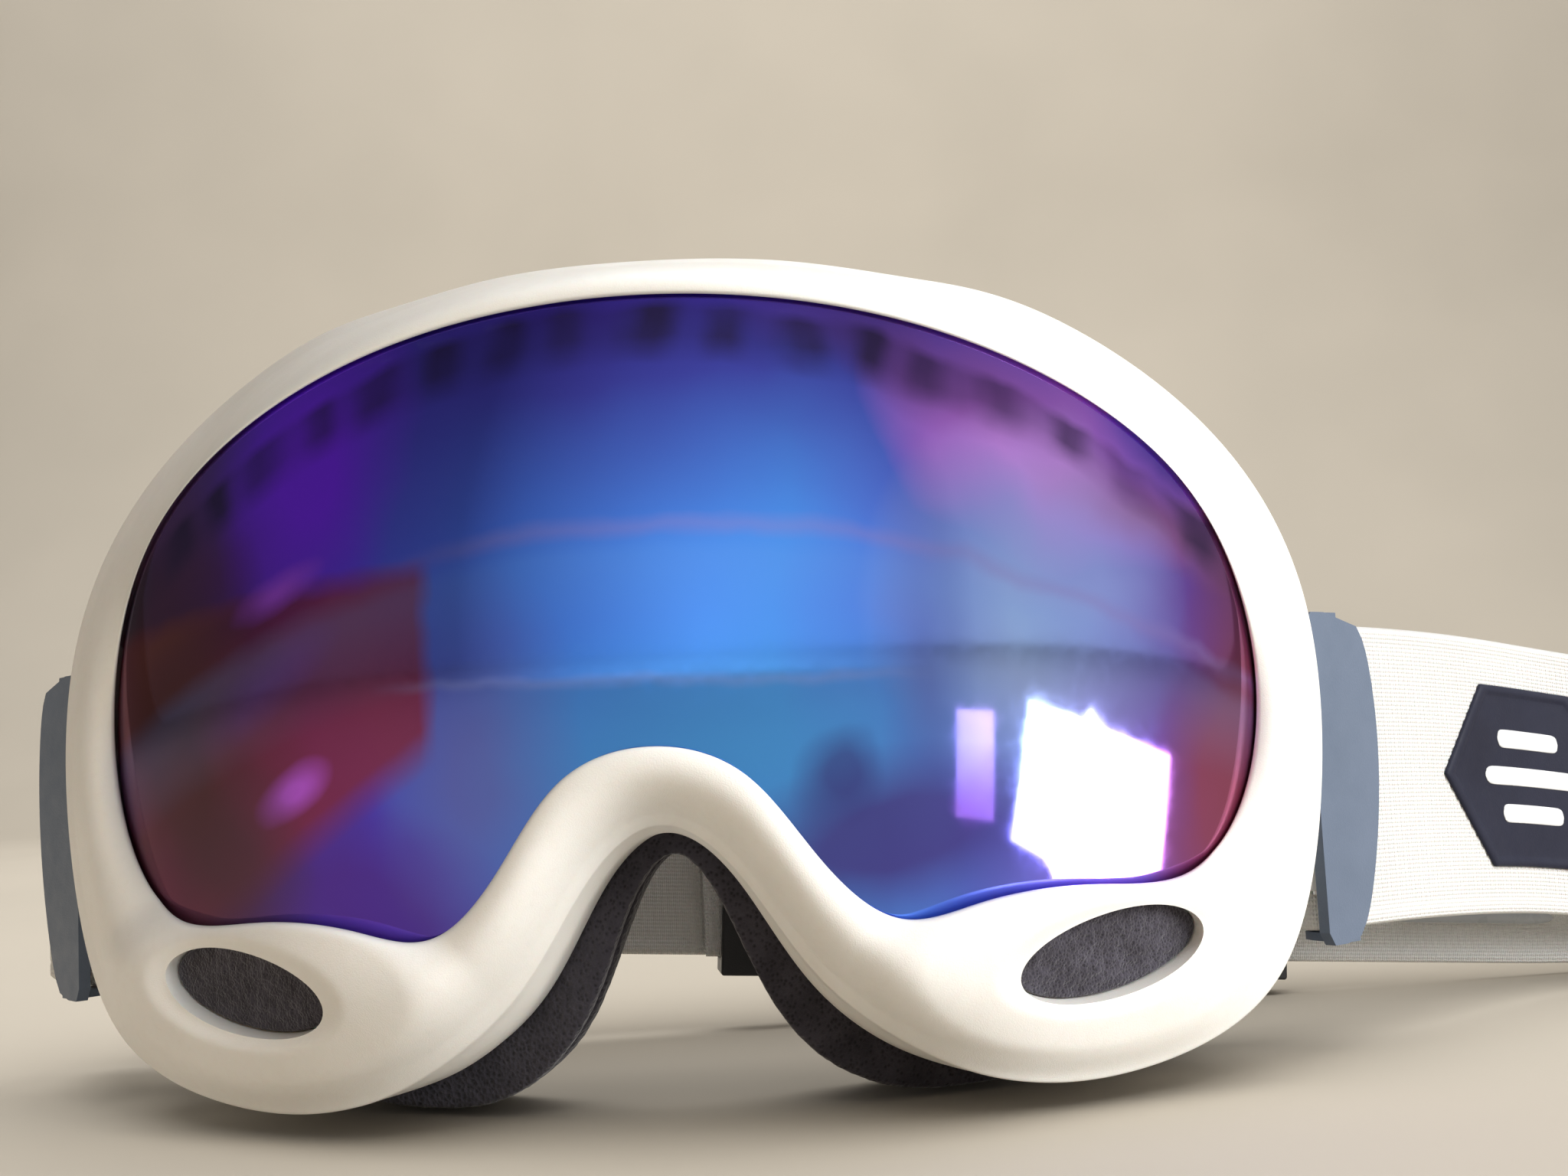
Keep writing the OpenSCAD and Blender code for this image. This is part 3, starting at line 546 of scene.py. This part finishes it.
MATERIALS = {
    "white_frame": white_frame(),
    "mirror_lens": mirror_lens(),
    "amber_lens": amber_lens(),
    "black_foam": foam("black_foam", (0.010, 0.010, 0.012), (0.022, 0.021, 0.024), 2600, 0.00015),
    "vent_foam": foam("vent_foam", (0.035, 0.031, 0.040), (0.070, 0.065, 0.085), 2600, 0.00022),
    "face_foam": foam("face_foam", (0.030, 0.027, 0.036), (0.060, 0.055, 0.070), 1500, 0.00025),
    "fleece": fleece(),
    "steel": steel(),
    "grey_plastic": plastic("grey_plastic", (0.100, 0.132, 0.190), (0.122, 0.156, 0.222), 0.42),
    "white_webbing": webbing(),
    "thread": thread("thread", (0.78, 0.77, 0.74)),
    "black_plastic": plastic("black_plastic", (0.010, 0.010, 0.012), (0.024, 0.024, 0.027), 0.38),
    "silicone": plastic("silicone", (0.42, 0.45, 0.49), (0.52, 0.55, 0.59), 0.3, 1800, Coat_Weight=0.4),
    "dark_patch": plastic("dark_patch", (0.008, 0.009, 0.022), (0.014, 0.016, 0.034), 0.6, 2600,
                          Specular_IOR_Level=0.25),
    "pale_print": plastic("pale_print", (0.60, 0.61, 0.62), (0.70, 0.71, 0.71), 0.5, 2600),
}


def paint(o, slot):
    o.data.materials.clear()
    o.data.materials.append(MATERIALS[slot])
    return o


def settle(o, slot, body, *nodes):
    """Gives a new piece its material, body and the CAD nodes that it stands for."""
    paint(o, slot)
    if body:
        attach(o, body)
    if nodes:
        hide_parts(*nodes)
    return o


# Frame --------------------------------------------------------------------------------
def frame_sections(n):
    """The frame's closed section at n places round the lens: the front from the lens edge out to
    the widest line, the side back to the foam's flange, and the inside back to the lens seat."""
    a, b, c, d = (outline(h, n) for h in (APERTURE, BEAD, FLANGE, FACE_HOLE))
    g, r, i = toward(a, b, 2.5), toward(a, b, 0.8), toward(a, b, 3.4)
    k, e, f = toward(b, a, 2.4), toward(c, d, 2.4), toward(c, d, 8)
    m = mix(a, b, 0.55)
    yb, yc = lens_y(a) + 8, face_y(c)
    rear = LENS_T + SLACK
    section = [(g, lens_y(g) - SLACK)] * 2 + [(a, lens_y(a) - SLACK), (a, front_y(a, b, 0) + 0.25)]
    section += [(mix(a, b, v), front_y(a, b, v)) for v in np.linspace(0.03, 0.985, 34)]
    section += [(b, yb), (mix(b, c, 0.12), yb + 1.0), (mix(b, c, 0.3), yb + 2.0), (mix(b, c, 0.55), yb + 3.2),
                (mix(b, c, 0.85), mix(yb, yc, 0.3) + 0.6), (c, mix(yb, yc, 0.45)), (c, mix(yb, yc, 0.75)),
                (c, yc - 0.7), (c, yc), (c, yc), (mix(c, f, 0.5), face_y(mix(c, f, 0.5))), (f, face_y(f)),
                (f, face_y(f)), (f, face_y(f) - 2), (f, face_y(f) - 2), (e, face_y(e) - 2),
                (e, mix(yb, face_y(e), 0.5) + 0.6), (k, yb + 2),
                (m, np.maximum(front_y(a, b, 0.55) + 2.8, lens_y(m) + 1.2)),
                (i, lens_y(i) + LENS_T + 2.4), (r, lens_y(r) + LENS_T + 1.8), (r, lens_y(r) + LENS_T + 1.8),
                (r, lens_y(r) + rear), (r, lens_y(r) + rear), (g, lens_y(g) + rear), (g, lens_y(g) + rear)]
    pts = np.stack([lifted(p, y) for p, y in section])
    return closed_curve(pts, len(section) * 2).transpose(1, 0, 2)


def vent_matrix(side):
    turn = (Matrix.Rotation(math.radians(VENT_YAW), 4, "Z") @ Matrix.Rotation(math.radians(VENT_DIP), 4, "X")
            @ Matrix.Rotation(math.radians(90), 4, "X") @ Matrix.Rotation(math.radians(VENT_TILT), 4, "Z"))
    m = Matrix.Translation(Vector(VENT_AT)) @ turn
    return Matrix.Diagonal((side, 1, 1, 1)) @ m


def placed(matrix, p):
    m = np.array(matrix)
    return p @ m[:3, :3].T + m[:3, 3]


def oval_bar(side, near, far):
    """A cutter for a lower vent's opening."""
    a = np.arange(72) * 2 * math.pi / 72
    ring = np.stack([VENT_L / 2 * np.cos(a), VENT_H / 2 * np.sin(a)], 1)
    pts = np.stack([np.column_stack([ring, np.full(72, z)]) for z in (near, far)])
    return placed(vent_matrix(side), pts)


SLOT_STEP, SLOTS = 9.6, 9


def slot_bar(k):
    """A cutter for the top slot k places from the middle."""
    x = k * SLOT_STEP
    mid = np.array([x, 22 + 1.4 * float(sag(TOP_R, x)), 106.4 - 0.0024 * x ** 2])
    a = np.linspace(0, 2 * math.pi, 24, endpoint=False)
    c, s = np.cos(a), np.sin(a)
    ring = np.column_stack([3 * np.sign(c) * np.abs(c) ** 0.4, 3 * np.sign(s) * np.abs(s) ** 0.4])
    return np.stack([mid + np.column_stack([ring, np.full(24, z)]) for z in (-7, 7)])


shell = loft("frame_shell", frame_sections(640))
cutters = joined("frame_cutters", [(oval_bar(s, -14, 6), False) for s in (-1, 1)]
                 + [(slot_bar(k - SLOTS // 2), False) for k in range(SLOTS)])
cut = shell.modifiers.new("openings", "BOOLEAN")
cut.operation, cut.solver, cut.object = "DIFFERENCE", "EXACT", cutters
bpy.context.view_layer.update()
cut_mesh = bpy.data.meshes.new_from_object(shell.evaluated_get(bpy.context.evaluated_depsgraph_get()))
shell.modifiers.clear()
shell.data = cut_mesh
shell.data.set_sharp_from_angle(angle=math.radians(50))
bpy.data.objects.remove(cutters)
settle(shell, "white_frame", "goggle_frame", "outer_frame")


# Lenses -------------------------------------------------------------------------------
def lens_shell(name, edge, near, far, rings, bevel):
    """A curved plate over an outline, with its rim rounded."""
    n = len(edge)
    loops = []
    for f in np.linspace(1 / rings, 1, rings):
        q = mix(LENS_MIDDLE, edge, f)
        loops.append(lifted(q, lens_y(q) + near + (bevel if f == 1 else 0)))
    for f in np.linspace(1, 1 / rings, rings):
        q = mix(LENS_MIDDLE, edge, f)
        loops.append(lifted(q, lens_y(q) + far - (bevel if f == 1 else 0)))
    middle = [lifted(LENS_MIDDLE, lens_y(LENS_MIDDLE) + v) for v in (near, far)]
    verts = np.vstack([np.vstack(loops), middle])
    faces = quads(len(loops), n, close_rows=False)
    last = len(loops) * n
    j = np.arange(n)
    faces += np.stack([np.full(n, last), (j + 1) % n, j], 1).tolist()
    faces += np.stack([np.full(n, last + 1), last - n + j, last - n + (j + 1) % n], 1).tolist()
    return new_object(name, row(verts), faces)


edge = toward(outline(APERTURE, 416), outline(BEAD, 416), 2.2)
settle(lens_shell("lens_mirror", edge, 0, LENS_T, 40, 0.3), "mirror_lens", "goggle_frame", "outer_lens")
edge = toward(outline(APERTURE, 312), LENS_MIDDLE, 1.4)
settle(lens_shell("lens_inner", edge, LENS_T + LENS_GAP, LENS_T + LENS_GAP + INNER_T, 24, 0.2),
       "amber_lens", "goggle_frame", "inner_lens")


def gasket():
    loop = outline(APERTURE, 416)
    o, n = toward(loop, LENS_MIDDLE, 1), toward(loop, LENS_MIDDLE, 5)
    near, far = LENS_T + 0.45, LENS_T + LENS_GAP - 0.45
    section = [(mix(o, n, 0.5), near), (mix(o, n, 0.1), near),
               (o, mix(near, far, 0.25)), (o, mix(near, far, 0.75)),
               (mix(o, n, 0.1), far), (mix(o, n, 0.5), far), (mix(o, n, 0.9), far),
               (n, mix(near, far, 0.75)), (n, mix(near, far, 0.25)), (mix(o, n, 0.9), near)]
    pts = np.stack([lifted(p, lens_y(p) + v) for p, v in section])
    return loft("lens_foam_gasket", closed_curve(pts, 30).transpose(1, 0, 2))


settle(gasket(), "black_foam", "goggle_frame", "lens_gasket")


# Foams --------------------------------------------------------------------------------
def foam_ring(name, near, far, grow, crown, pit, cell, seed):
    """A layer of face foam from near to far behind the flange, with a pitted, uneven surface."""
    n = 600
    c, d = outline(FOAM_EDGE, n), outline(FACE_HOLE, n)
    c, d = mix(c, d, grow), mix(c, d, 1 - grow)
    h = far - near
    spots = [(0.04, 0), (0.01, 0.12), (0, 0.35), (0.01, 0.6), (0.04, 0.84), (0.10, 0.97),
             (0.2, 1), (0.34, 1), (0.5, 1), (0.66, 1), (0.8, 1), (0.90, 0.97),
             (0.96, 0.84), (0.99, 0.6), (1, 0.35), (0.99, 0.12), (0.96, 0),
             (0.8, 0), (0.6, 0), (0.4, 0), (0.2, 0)]
    pts = []
    for f, v in spots:
        p = mix(c, d, f)
        pts.append(lifted(p, face_y(p) + near + h * v + crown * max(0, 1 - (2 * f - 1) ** 2) * (v == 1)))
    pts = closed_curve(np.stack(pts), 63).transpose(1, 0, 2)
    middle = pts.mean(1, keepdims=True)
    away = pts - middle
    away /= np.linalg.norm(away, axis=-1, keepdims=True)
    dent = lattice_noise(pts / cell, seed) * pit + lattice_noise(pts / 9.0, seed + 4) * 0.25
    return loft(name, pts - away * dent[..., None])


base = foam_ring("foam_base", 0.3, 6, 0.04, 0.0, 0.16, 0.8, 1)
middle_foam = foam_ring("foam_middle", 6.3, 15, 0.02, 0.0, 0.22, 0.9, 2)
skin = foam_ring("foam_fleece", 15.3, 17.4, 0.06, 0.5, 0.14, 0.6, 3)
settle(base, "face_foam", "goggle_frame", "face_foam_base")
settle(middle_foam, "face_foam", "goggle_frame", "face_foam_middle")
settle(skin, "fleece", "goggle_frame", "face_fleece")


def vent_pad(side, name):
    """A slightly crowned oval of open-cell foam, pitted on its face."""
    a = np.arange(160) * 2 * math.pi / 160
    rings = [(0.02, 0.0), (0.5, 0.0), (0.9, 0.05), (0.98, 0.2), (1, 0.5), (1, 2.1),
             (0.97, 2.55), (0.5, 2.6), (0.02, 2.6)]
    dense = []
    for (f0, z0), (f1, z1) in zip(rings, rings[1:]):
        k = max(2, int(abs(f1 - f0) * 50))
        dense += [(mix(f0, f1, t), mix(z0, z1, t)) for t in np.arange(k) / k]
    dense.append(rings[-1])
    x, y = (VENT_L / 2 - 0.25) * np.cos(a), (VENT_H / 2 - 0.25) * np.sin(a)
    pts = np.stack([np.column_stack([x * f, y * f, -2.45 - z - 0.28 * x * f]) for f, z in dense])
    depth = np.array([z for f, z in dense])[:, None]
    pits = 0.3 * lattice_noise(pts / 0.7, 6) + 0.15 * lattice_noise(pts / 0.4, 9)
    pts[..., 2] -= smooth(1 - depth / 0.6) * pits
    return loft(name, placed(vent_matrix(side), pts), closed=False)


for side, label in ((-1, "left"), (1, "right")):
    pad = vent_pad(side, "vent_pad_" + label)
    settle(pad, "vent_foam", "goggle_frame", "vent_foam_" + label)


def top_pad():
    x = np.linspace(-46, 46, 184)
    z, y = 100.8 - 0.0017 * x ** 2, 15.5 + sag(120, x)
    a = np.linspace(0, 2 * math.pi, 48, endpoint=False)
    c, s = np.cos(a), np.sin(a)
    u, v = 5.25 * np.sign(c) * np.abs(c) ** 0.25, 1.3 * np.sign(s) * np.abs(s) ** 0.35
    pts = np.stack([np.repeat(x[:, None], 48, 1), y[:, None] + 5.25 + u, z[:, None] - 1.3 + v], -1)
    pts[..., 2] -= np.sign(v) * (0.4 * lattice_noise(pts / 1.0, 11) + 0.1)
    return loft("top_pad", pts, closed=False)


settle(top_pad(), "vent_foam", "goggle_frame", "top_vent_foam")


# Hinges, arms and sliders keep their CAD shape, with their edges eased --------------------
def eased(node, slot, width, angle=30):
    o = frame["nodes"][node]
    paint(o, slot)
    weld = o.modifiers.new("weld", "WELD")
    weld.merge_threshold = 0.00001
    bevel = o.modifiers.new("ease", "BEVEL")
    bevel.width, bevel.segments, bevel.limit_method = width, 3, "ANGLE"
    bevel.angle_limit, bevel.harden_normals = math.radians(angle), False
    o.data.polygons.foreach_set("use_smooth", [True] * len(o.data.polygons))
    normal = o.modifiers.new("normals", "WEIGHTED_NORMAL")
    normal.keep_sharp = False


for label in ("left", "right"):
    eased("hinge_bracket_" + label, "white_frame", 0.0003)
    eased("hinge_pin_" + label, "steel", 0.0002)
    eased("outrigger_" + label, "grey_plastic", 0.0005)
    eased("slider_" + label, "black_plastic", 0.0004)


# Strap --------------------------------------------------------------------------------
STRAP_W, STRAP_T, LOW = 44.0, 1.8, HINGE[2] - 22.0
BAR_X, BAR_Y, BAR_R = 4.6, 3.2, 1.4
STRAP_OFF = BAR_Y - BAR_R - 0.15 - STRAP_T / 2
STRAP_START = BAR_X + 0.6
ARM = {"left": (-1, 46), "right": (1, 41)}
BACK_FROM, BACK_TO = np.array([150.0, 122.0, 0.9]), np.array([-30.0, 92.0, 13.8])
PLY = STRAP_T + 0.5


def along(label, u, v, z):
    side, angle = ARM[label]
    c, s = math.cos(math.radians(angle)), math.sin(math.radians(angle))
    return np.array([side * (HINGE[0] + u * c - v * s), HINGE[1] + u * s + v * c, z])


def back_at(x, shift=0.0):
    return mix(BACK_FROM, BACK_TO, (BACK_FROM[0] - x) / (BACK_FROM[0] - BACK_TO[0])) + [0, shift, 0]


# Each strap's lower edge: from the outrigger, round its bend, and along the back.
RIGHT_ROUTE = [along("right", STRAP_START + 15 * i, STRAP_OFF, LOW - 0.08 * i - 0.19 * i ** 2)
               for i in range(5)]
RIGHT_ROUTE += [(154, 105.5, 9.9), (166, 111.5, 7.6), (177, 115.5, 5.1),
                (184.5, 121.5, 2.8), (180, 128, 1.2), (166, 126.2, 0.8)]
RIGHT_ROUTE += [back_at(x) for x in (150, 132, 110, 85, 60, 35, 15, -3)]
LEFT_ROUTE = [along("left", STRAP_START + 4.6 * i, STRAP_OFF, LOW) for i in range(4)]
LEFT_ROUTE += [(-103.2, 74.5, 15.9), (-101.5, 84, 15.9), (-90, 88, 15.9)]
LEFT_ROUTE += [back_at(x, PLY) + [0, 0, -0.04 * max(0, -50 - x)]
               for x in (-74, -60, -40, -15, 10, 35, 60, 80, 98)]


def spaced(route, step, per=40):
    """Evenly spaced points along a route, with the flat normal at each and the distance run."""
    p = open_curve(route, per)
    s = np.concatenate([[0], np.cumsum(np.linalg.norm(np.diff(p, axis=0), axis=1))])
    t = np.linspace(0, s[-1], int(s[-1] / step) + 1)
    q = np.stack([np.interp(t, s, p[:, k]) for k in range(3)], 1)
    d = np.gradient(q, axis=0)[:, :2]
    d /= np.linalg.norm(d, axis=1, keepdims=True)
    return q, np.column_stack([-d[:, 1], d[:, 0], np.zeros(len(d))]), t


RIB = 1.25


def strap_band(name, path, normal, run):
    """Webbing with rounded selvedges and ribs across its width."""
    half = STRAP_T / 2
    z = np.concatenate([[0.0, 0.12, 0.5, 1.1, 1.9, 2.5], np.linspace(3.1, STRAP_W - 3.1, 26),
                        STRAP_W - np.array([2.5, 1.9, 1.1, 0.5, 0.12, 0.0])])
    near_edge = np.minimum(z, STRAP_W - z)
    t = half * np.sqrt(np.clip(1 - (1 - np.minimum(near_edge / 0.75, 1)) ** 2, 0.03, 1))
    t = t - 0.16 * smooth((near_edge - 1.7) / 1.0)
    rib = smooth((near_edge - 2.3) / 0.8)
    wave = 0.5 + 0.5 * np.cos(2 * math.pi * run / RIB)
    selvedge = 0.5 + 0.5 * np.cos(2 * math.pi * run / RIB + math.pi * 0.8)
    t = (t[None, :] + 0.16 * wave[:, None] * rib[None, :]
         + 0.05 * selvedge[:, None] * (1 - rib)[None, :] * (near_edge > 0.4))
    t = np.minimum(t, half + 0.02)
    zz = np.concatenate([z, z[::-1]])
    off = np.concatenate([t, -t[:, ::-1]], 1)
    pts = path[:, None] + normal[:, None] * off[..., None]
    pts[..., 2] += zz
    uv = np.stack([np.repeat(run[:, None], len(zz), 1), np.repeat(zz[None], len(run), 0)], -1) / 1000
    return loft(name, pts, closed=False, uv=uv)


def cut_at(data, a, b):
    path, normal, run = data
    keep = (run >= a) & (run <= b)
    return path[keep], normal[keep], run[keep]


RIGHT, LEFT = spaced(RIGHT_ROUTE, 0.3125), spaced(LEFT_ROUTE, 0.3125)
tip = RIGHT[2][np.argmax(RIGHT[0][:, 0])]
right_front = strap_band("strap_right_front", *cut_at(RIGHT, 0, tip + 0.32))
right_rear = strap_band("strap_right_rear", *cut_at(RIGHT, tip, 1e9))
bend = LEFT[2][np.argmin(np.abs(LEFT[0][:, 0] + 88) + (LEFT[0][:, 1] < 80) * 99)]
left_front = strap_band("strap_left_front", *cut_at(LEFT, 0, bend + 0.32))
left_rear = strap_band("strap_left_rear", *cut_at(LEFT, bend, 1e9))
settle(right_front, "white_webbing", None, "strap_right")
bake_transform(right_front)
settle(right_rear, "white_webbing", "goggle_frame", "strap_right")
settle(left_front, "white_webbing", None, "strap_left")
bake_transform(left_front)
settle(left_rear, "white_webbing", "goggle_frame", "strap_left")

# The sewn ends go round the outriggers' bars.
SEWN = 18.0
LOOP_R = BAR_R + 0.15 + STRAP_T / 2
JOIN = STRAP_OFF + STRAP_T + 0.25
for label in ("left", "right"):
    turn = [(BAR_X + LOOP_R * math.cos(math.radians(a - 30)), BAR_Y + LOOP_R * math.sin(math.radians(a - 30)))
            for a in range(300, 119, -30)]
    flat = [(BAR_X + 0.3, STRAP_OFF), (BAR_X, STRAP_OFF)] + turn
    flat += [(BAR_X + 2.5, BAR_Y + LOOP_R - 0.1), (BAR_X + 5, mix(BAR_Y + LOOP_R, JOIN, 0.5)),
             (BAR_X + 7.5, JOIN), (SEWN, JOIN)]
    route = [along(label, u, v, LOW) for u, v in flat]
    p = np.array(route)
    s = np.concatenate([[0], np.cumsum(np.linalg.norm(np.diff(p, axis=0), axis=1))])
    t = np.linspace(0, s[-1], int(s[-1] / 0.3125))
    q = np.stack([np.interp(t, s, p[:, k]) for k in range(3)], 1)
    soft = np.stack([np.convolve(np.pad(q[:, k], 3, "edge"), np.ones(7) / 7, "valid") for k in range(3)], 1)
    soft[0], soft[-1] = q[0], q[-1]
    d = np.gradient(soft, axis=0)[:, :2]
    d /= np.linalg.norm(d, axis=1, keepdims=True)
    n = np.column_stack([-d[:, 1], d[:, 0], np.zeros(len(d))])
    loop = strap_band("strap_end_" + label, soft, n, t)
    settle(loop, "white_webbing", label + "_outrigger", "strap_loop_" + label)
    # Zigzag tacks close the sewn end.
    rows = []
    for u0 in (SEWN - 3.9, SEWN - 1.5):
        zig = []
        for i in range(57):
            f = i / 56
            zig.append(along(label, u0 + (0.55 if i % 2 else -0.55), JOIN + STRAP_T / 2 + 0.12,
                             LOW + mix(2.4, 41.6, f)))
        rows.append((tube(open_curve(zig, 4), 0.2), False))
    settle(joined("tack_" + label, rows), "thread", label + "_outrigger", "bar_tack_" + label)

# Stitches across the strap's hemmed ends.
back_line = BACK_FROM - BACK_TO
back_dir = back_line / np.linalg.norm(back_line)
for label, x, shift, face in (("left", 1.0, 0.0, -1), ("right", 94.0, PLY, 1)):
    stitches = []
    for i in range(12):
        p = back_at(x, shift) + [0, face * (STRAP_T / 2 - 0.02), 3 + i * 38 / 12]
        arc = [p + [0, face * 0.1 * math.sin(math.pi * f), 2.0 * f] for f in np.linspace(0, 1, 9)]
        stitches.append((tube(arc, 0.14), False))
    settle(joined("end_thread_" + label, stitches), "thread", "goggle_frame", "end_stitch_" + label)

# Raised silicone lines inside the strap.
for label, xs, shift in (("right", (146, 116), 0.0), ("left", (-20, -44), PLY)):
    lines = []
    for z in (7, 15, 23, 31):
        a = np.linspace(0, math.pi, 13)
        x = np.linspace(xs[0], xs[1], 90)
        p = np.stack([back_at(v, shift) for v in x])
        taper = np.sqrt(np.clip(1 - np.abs(2 * np.linspace(0, 1, 90) - 1) ** 10, 0.05, 1))
        n = np.array([back_dir[1], -back_dir[0], 0]) / math.hypot(*back_dir[:2])
        ring = np.stack([0.48 * np.sin(a), 1.1 * np.cos(a)], 1)
        pts = (p[:, None] + n * (STRAP_T / 2 - 0.05 + ring[None, :, :1] * taper[:, None, None])
               + np.array([0, 0, 1.0]) * (z + 1.1 + ring[None, :, 1:] * taper[:, None, None]))
        lines.append((pts, False))
    settle(joined("grip_lines_" + label, lines), "silicone", "goggle_frame", "silicone_grip_" + label)


# Patch on the strap ---------------------------------------------------------------------
def on_strap(u, v, h):
    """A point u along the right strap, v above its middle and h off its outer face."""
    path, normal, run = RIGHT
    p = np.stack([np.interp(u, run, path[:, k]) for k in range(3)], -1)
    n = np.stack([np.interp(u, run, normal[:, k]) for k in range(3)], -1)
    return p - n * (STRAP_T / 2 + np.asarray(h)[..., None]) + np.stack([0 * u, 0 * u, STRAP_W / 2 + v], -1)


PATCH_U, PATCH_L, PATCH_H = 54.5, 49.0, 29.0


def hexagon(n, shrink):
    corner = [(-0.5, 0), (-0.25, 0.5), (0.25, 0.5), (0.5, 0), (0.25, -0.5), (-0.25, -0.5)]
    pts = []
    for (a, b), (c, d) in zip(corner, corner[1:] + corner[:1]):
        pts += [(mix(a, c, f), mix(b, d, f)) for f in np.arange(n) / n]
    p = np.array(pts) * [PATCH_L, PATCH_H]
    return p * (1 - shrink / (PATCH_H / 2))


def patch_plate():
    """A moulded patch with a rolled border."""
    inward = np.linspace(2.6, 14.3, 15)
    rings = [(s, 0.04) for s in inward[::-1]]
    rings += [(0, 0.04), (0, 0.35), (0.25, 0.55), (0.7, 0.62), (1.2, 0.55), (1.5, 0.34), (1.8, 0.3)]
    rings += [(s, 0.3) for s in inward]
    loops = []
    for shrink, h in rings:
        p = hexagon(24, shrink)
        loops.append(on_strap(PATCH_U + p[:, 0], p[:, 1], np.full(len(p), h)))
    return loft("patch", np.stack(loops), closed=False, angle=60)


def patch_bar(v, length):
    u = np.linspace(-length / 2, length / 2, 60)
    a = np.arange(16) * 2 * math.pi / 16
    c, s = np.cos(a), np.sin(a)
    w, h = 1.5 * np.sign(c) * np.abs(c) ** 0.6, 0.2 * np.sign(s) * np.abs(s) ** 0.6
    taper = np.sqrt(np.clip(1 - np.abs(u / (length / 2)) ** 16, 0.02, 1))
    return np.stack([on_strap(np.full(16, PATCH_U + x), v + w * t, 0.36 + h * t) for x, t in zip(u, taper)])


patch = settle(patch_plate(), "dark_patch", None, "strap_emblem")
bars = settle(joined("patch_bars", [(patch_bar(v, n), False) for v, n in ((6, 17), (0, 26), (-6, 17))]),
              "pale_print", None)
for o in (patch, bars):
    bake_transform(o)


# Floor and light ------------------------------------------------------------------------
def sweep():
    """A plain floor that curves up far behind."""
    profile = [(-2600, 0), (1500, 0)] + [(1500 + 900 * math.sin(a), 900 - 900 * math.cos(a))
                                        for a in np.linspace(0.1, math.pi / 2, 12)] + [(2400, 2600)]
    x = np.array([-6000, -3000, -1000, 0, 1000, 3000, 6000])
    p = np.array(profile)
    pts = np.stack([np.stack([np.full(len(p), v), p[:, 0], p[:, 1]], 1) for v in x])
    pts = pts - [0, 0, SHIFT[2]]
    faces = quads(len(x), len(p), close_rows=False, close_cols=False)
    return new_object("floor", row(pts.reshape(-1, 3)), faces)


floor = sweep()
s = Shader("floor", Roughness=0.85)
pale = s.ramp(s.noise(3, 2), [(0.3, (0.50, 0.455, 0.385)), (0.7, (0.54, 0.49, 0.415))])
floor.data.materials.append(s.finish(Base_Color=pale))

world = bpy.data.worlds.new("world")
bpy.context.scene.world = world
world.use_nodes = True
sky = world.node_tree
sky.nodes["Background"].inputs["Color"].default_value = (0.80, 0.80, 0.81, 1)
# The light from all round grows from the left to the right.
direction = sky.nodes.new("ShaderNodeTexCoord")
split = sky.nodes.new("ShaderNodeSeparateXYZ")
strength = sky.nodes.new("ShaderNodeMapRange")
strength.interpolation_type = "SMOOTHSTEP"
for k, v in (("From Min", -0.6), ("From Max", 1.0), ("To Min", 0.30), ("To Max", 0.72)):
    strength.inputs[k].default_value = v
sky.links.new(direction.outputs["Generated"], split.inputs["Vector"])
sky.links.new(split.outputs["X"], strength.inputs["Value"])
sky.links.new(strength.outputs["Result"], sky.nodes["Background"].inputs["Strength"])
bpy.context.scene.view_settings.view_transform = "Standard"
lens_piece = bpy.data.objects["lens_mirror"]
pieces = [o for o in bpy.context.scene.objects
          if o.type == "MESH" and o not in (lens_piece, floor) and not o.hide_render]
area_light("key", (650, -400, 330), (30, 20, 50), (0.45, 0.45), 8.5, (1, 0.99, 0.97), only=pieces)
area_light("top", (200, 60, 900), (30, 40, 60), (0.8, 0.6), 2.4, only=pieces)
area_light("warm", (-600, -500, 120), (-60, 20, 40), (0.6, 0.5), 0.8, (1, 0.58, 0.12), only=pieces)
area_light("ground", (150, -500, 1300), (0, -150, 0), (1.6, 1.6), 20, (1, 0.98, 0.94), only=[floor])
area_light("wall", (0, 900, 1900), (0, 2300, 900), (2.5, 2.5), 40, (1, 0.98, 0.94), only=[floor])
on_lens = dict(only=[lens_piece])
area_light("window", (124, -6, 20), (52, 17, 38), (0.060, 0.036), 0.10, (1, 0.97, 1), turn=-8, **on_lens)
area_light("window_corner", (121, -10, 18), (52, 17, 38), (0.034, 0.034), 0.08, (1, 0.97, 1),
           turn=36, **on_lens)
area_light("strip", (103, -48, 25), (39, 9, 43), (0.015, 0.028), 0.005, (1, 0.42, 0.55), **on_lens)
area_light("wide", (60, -900, 60), (8, 0, 58), (2.2, 1.6), 1.3, (0.96, 0.98, 1), spread=84, **on_lens)
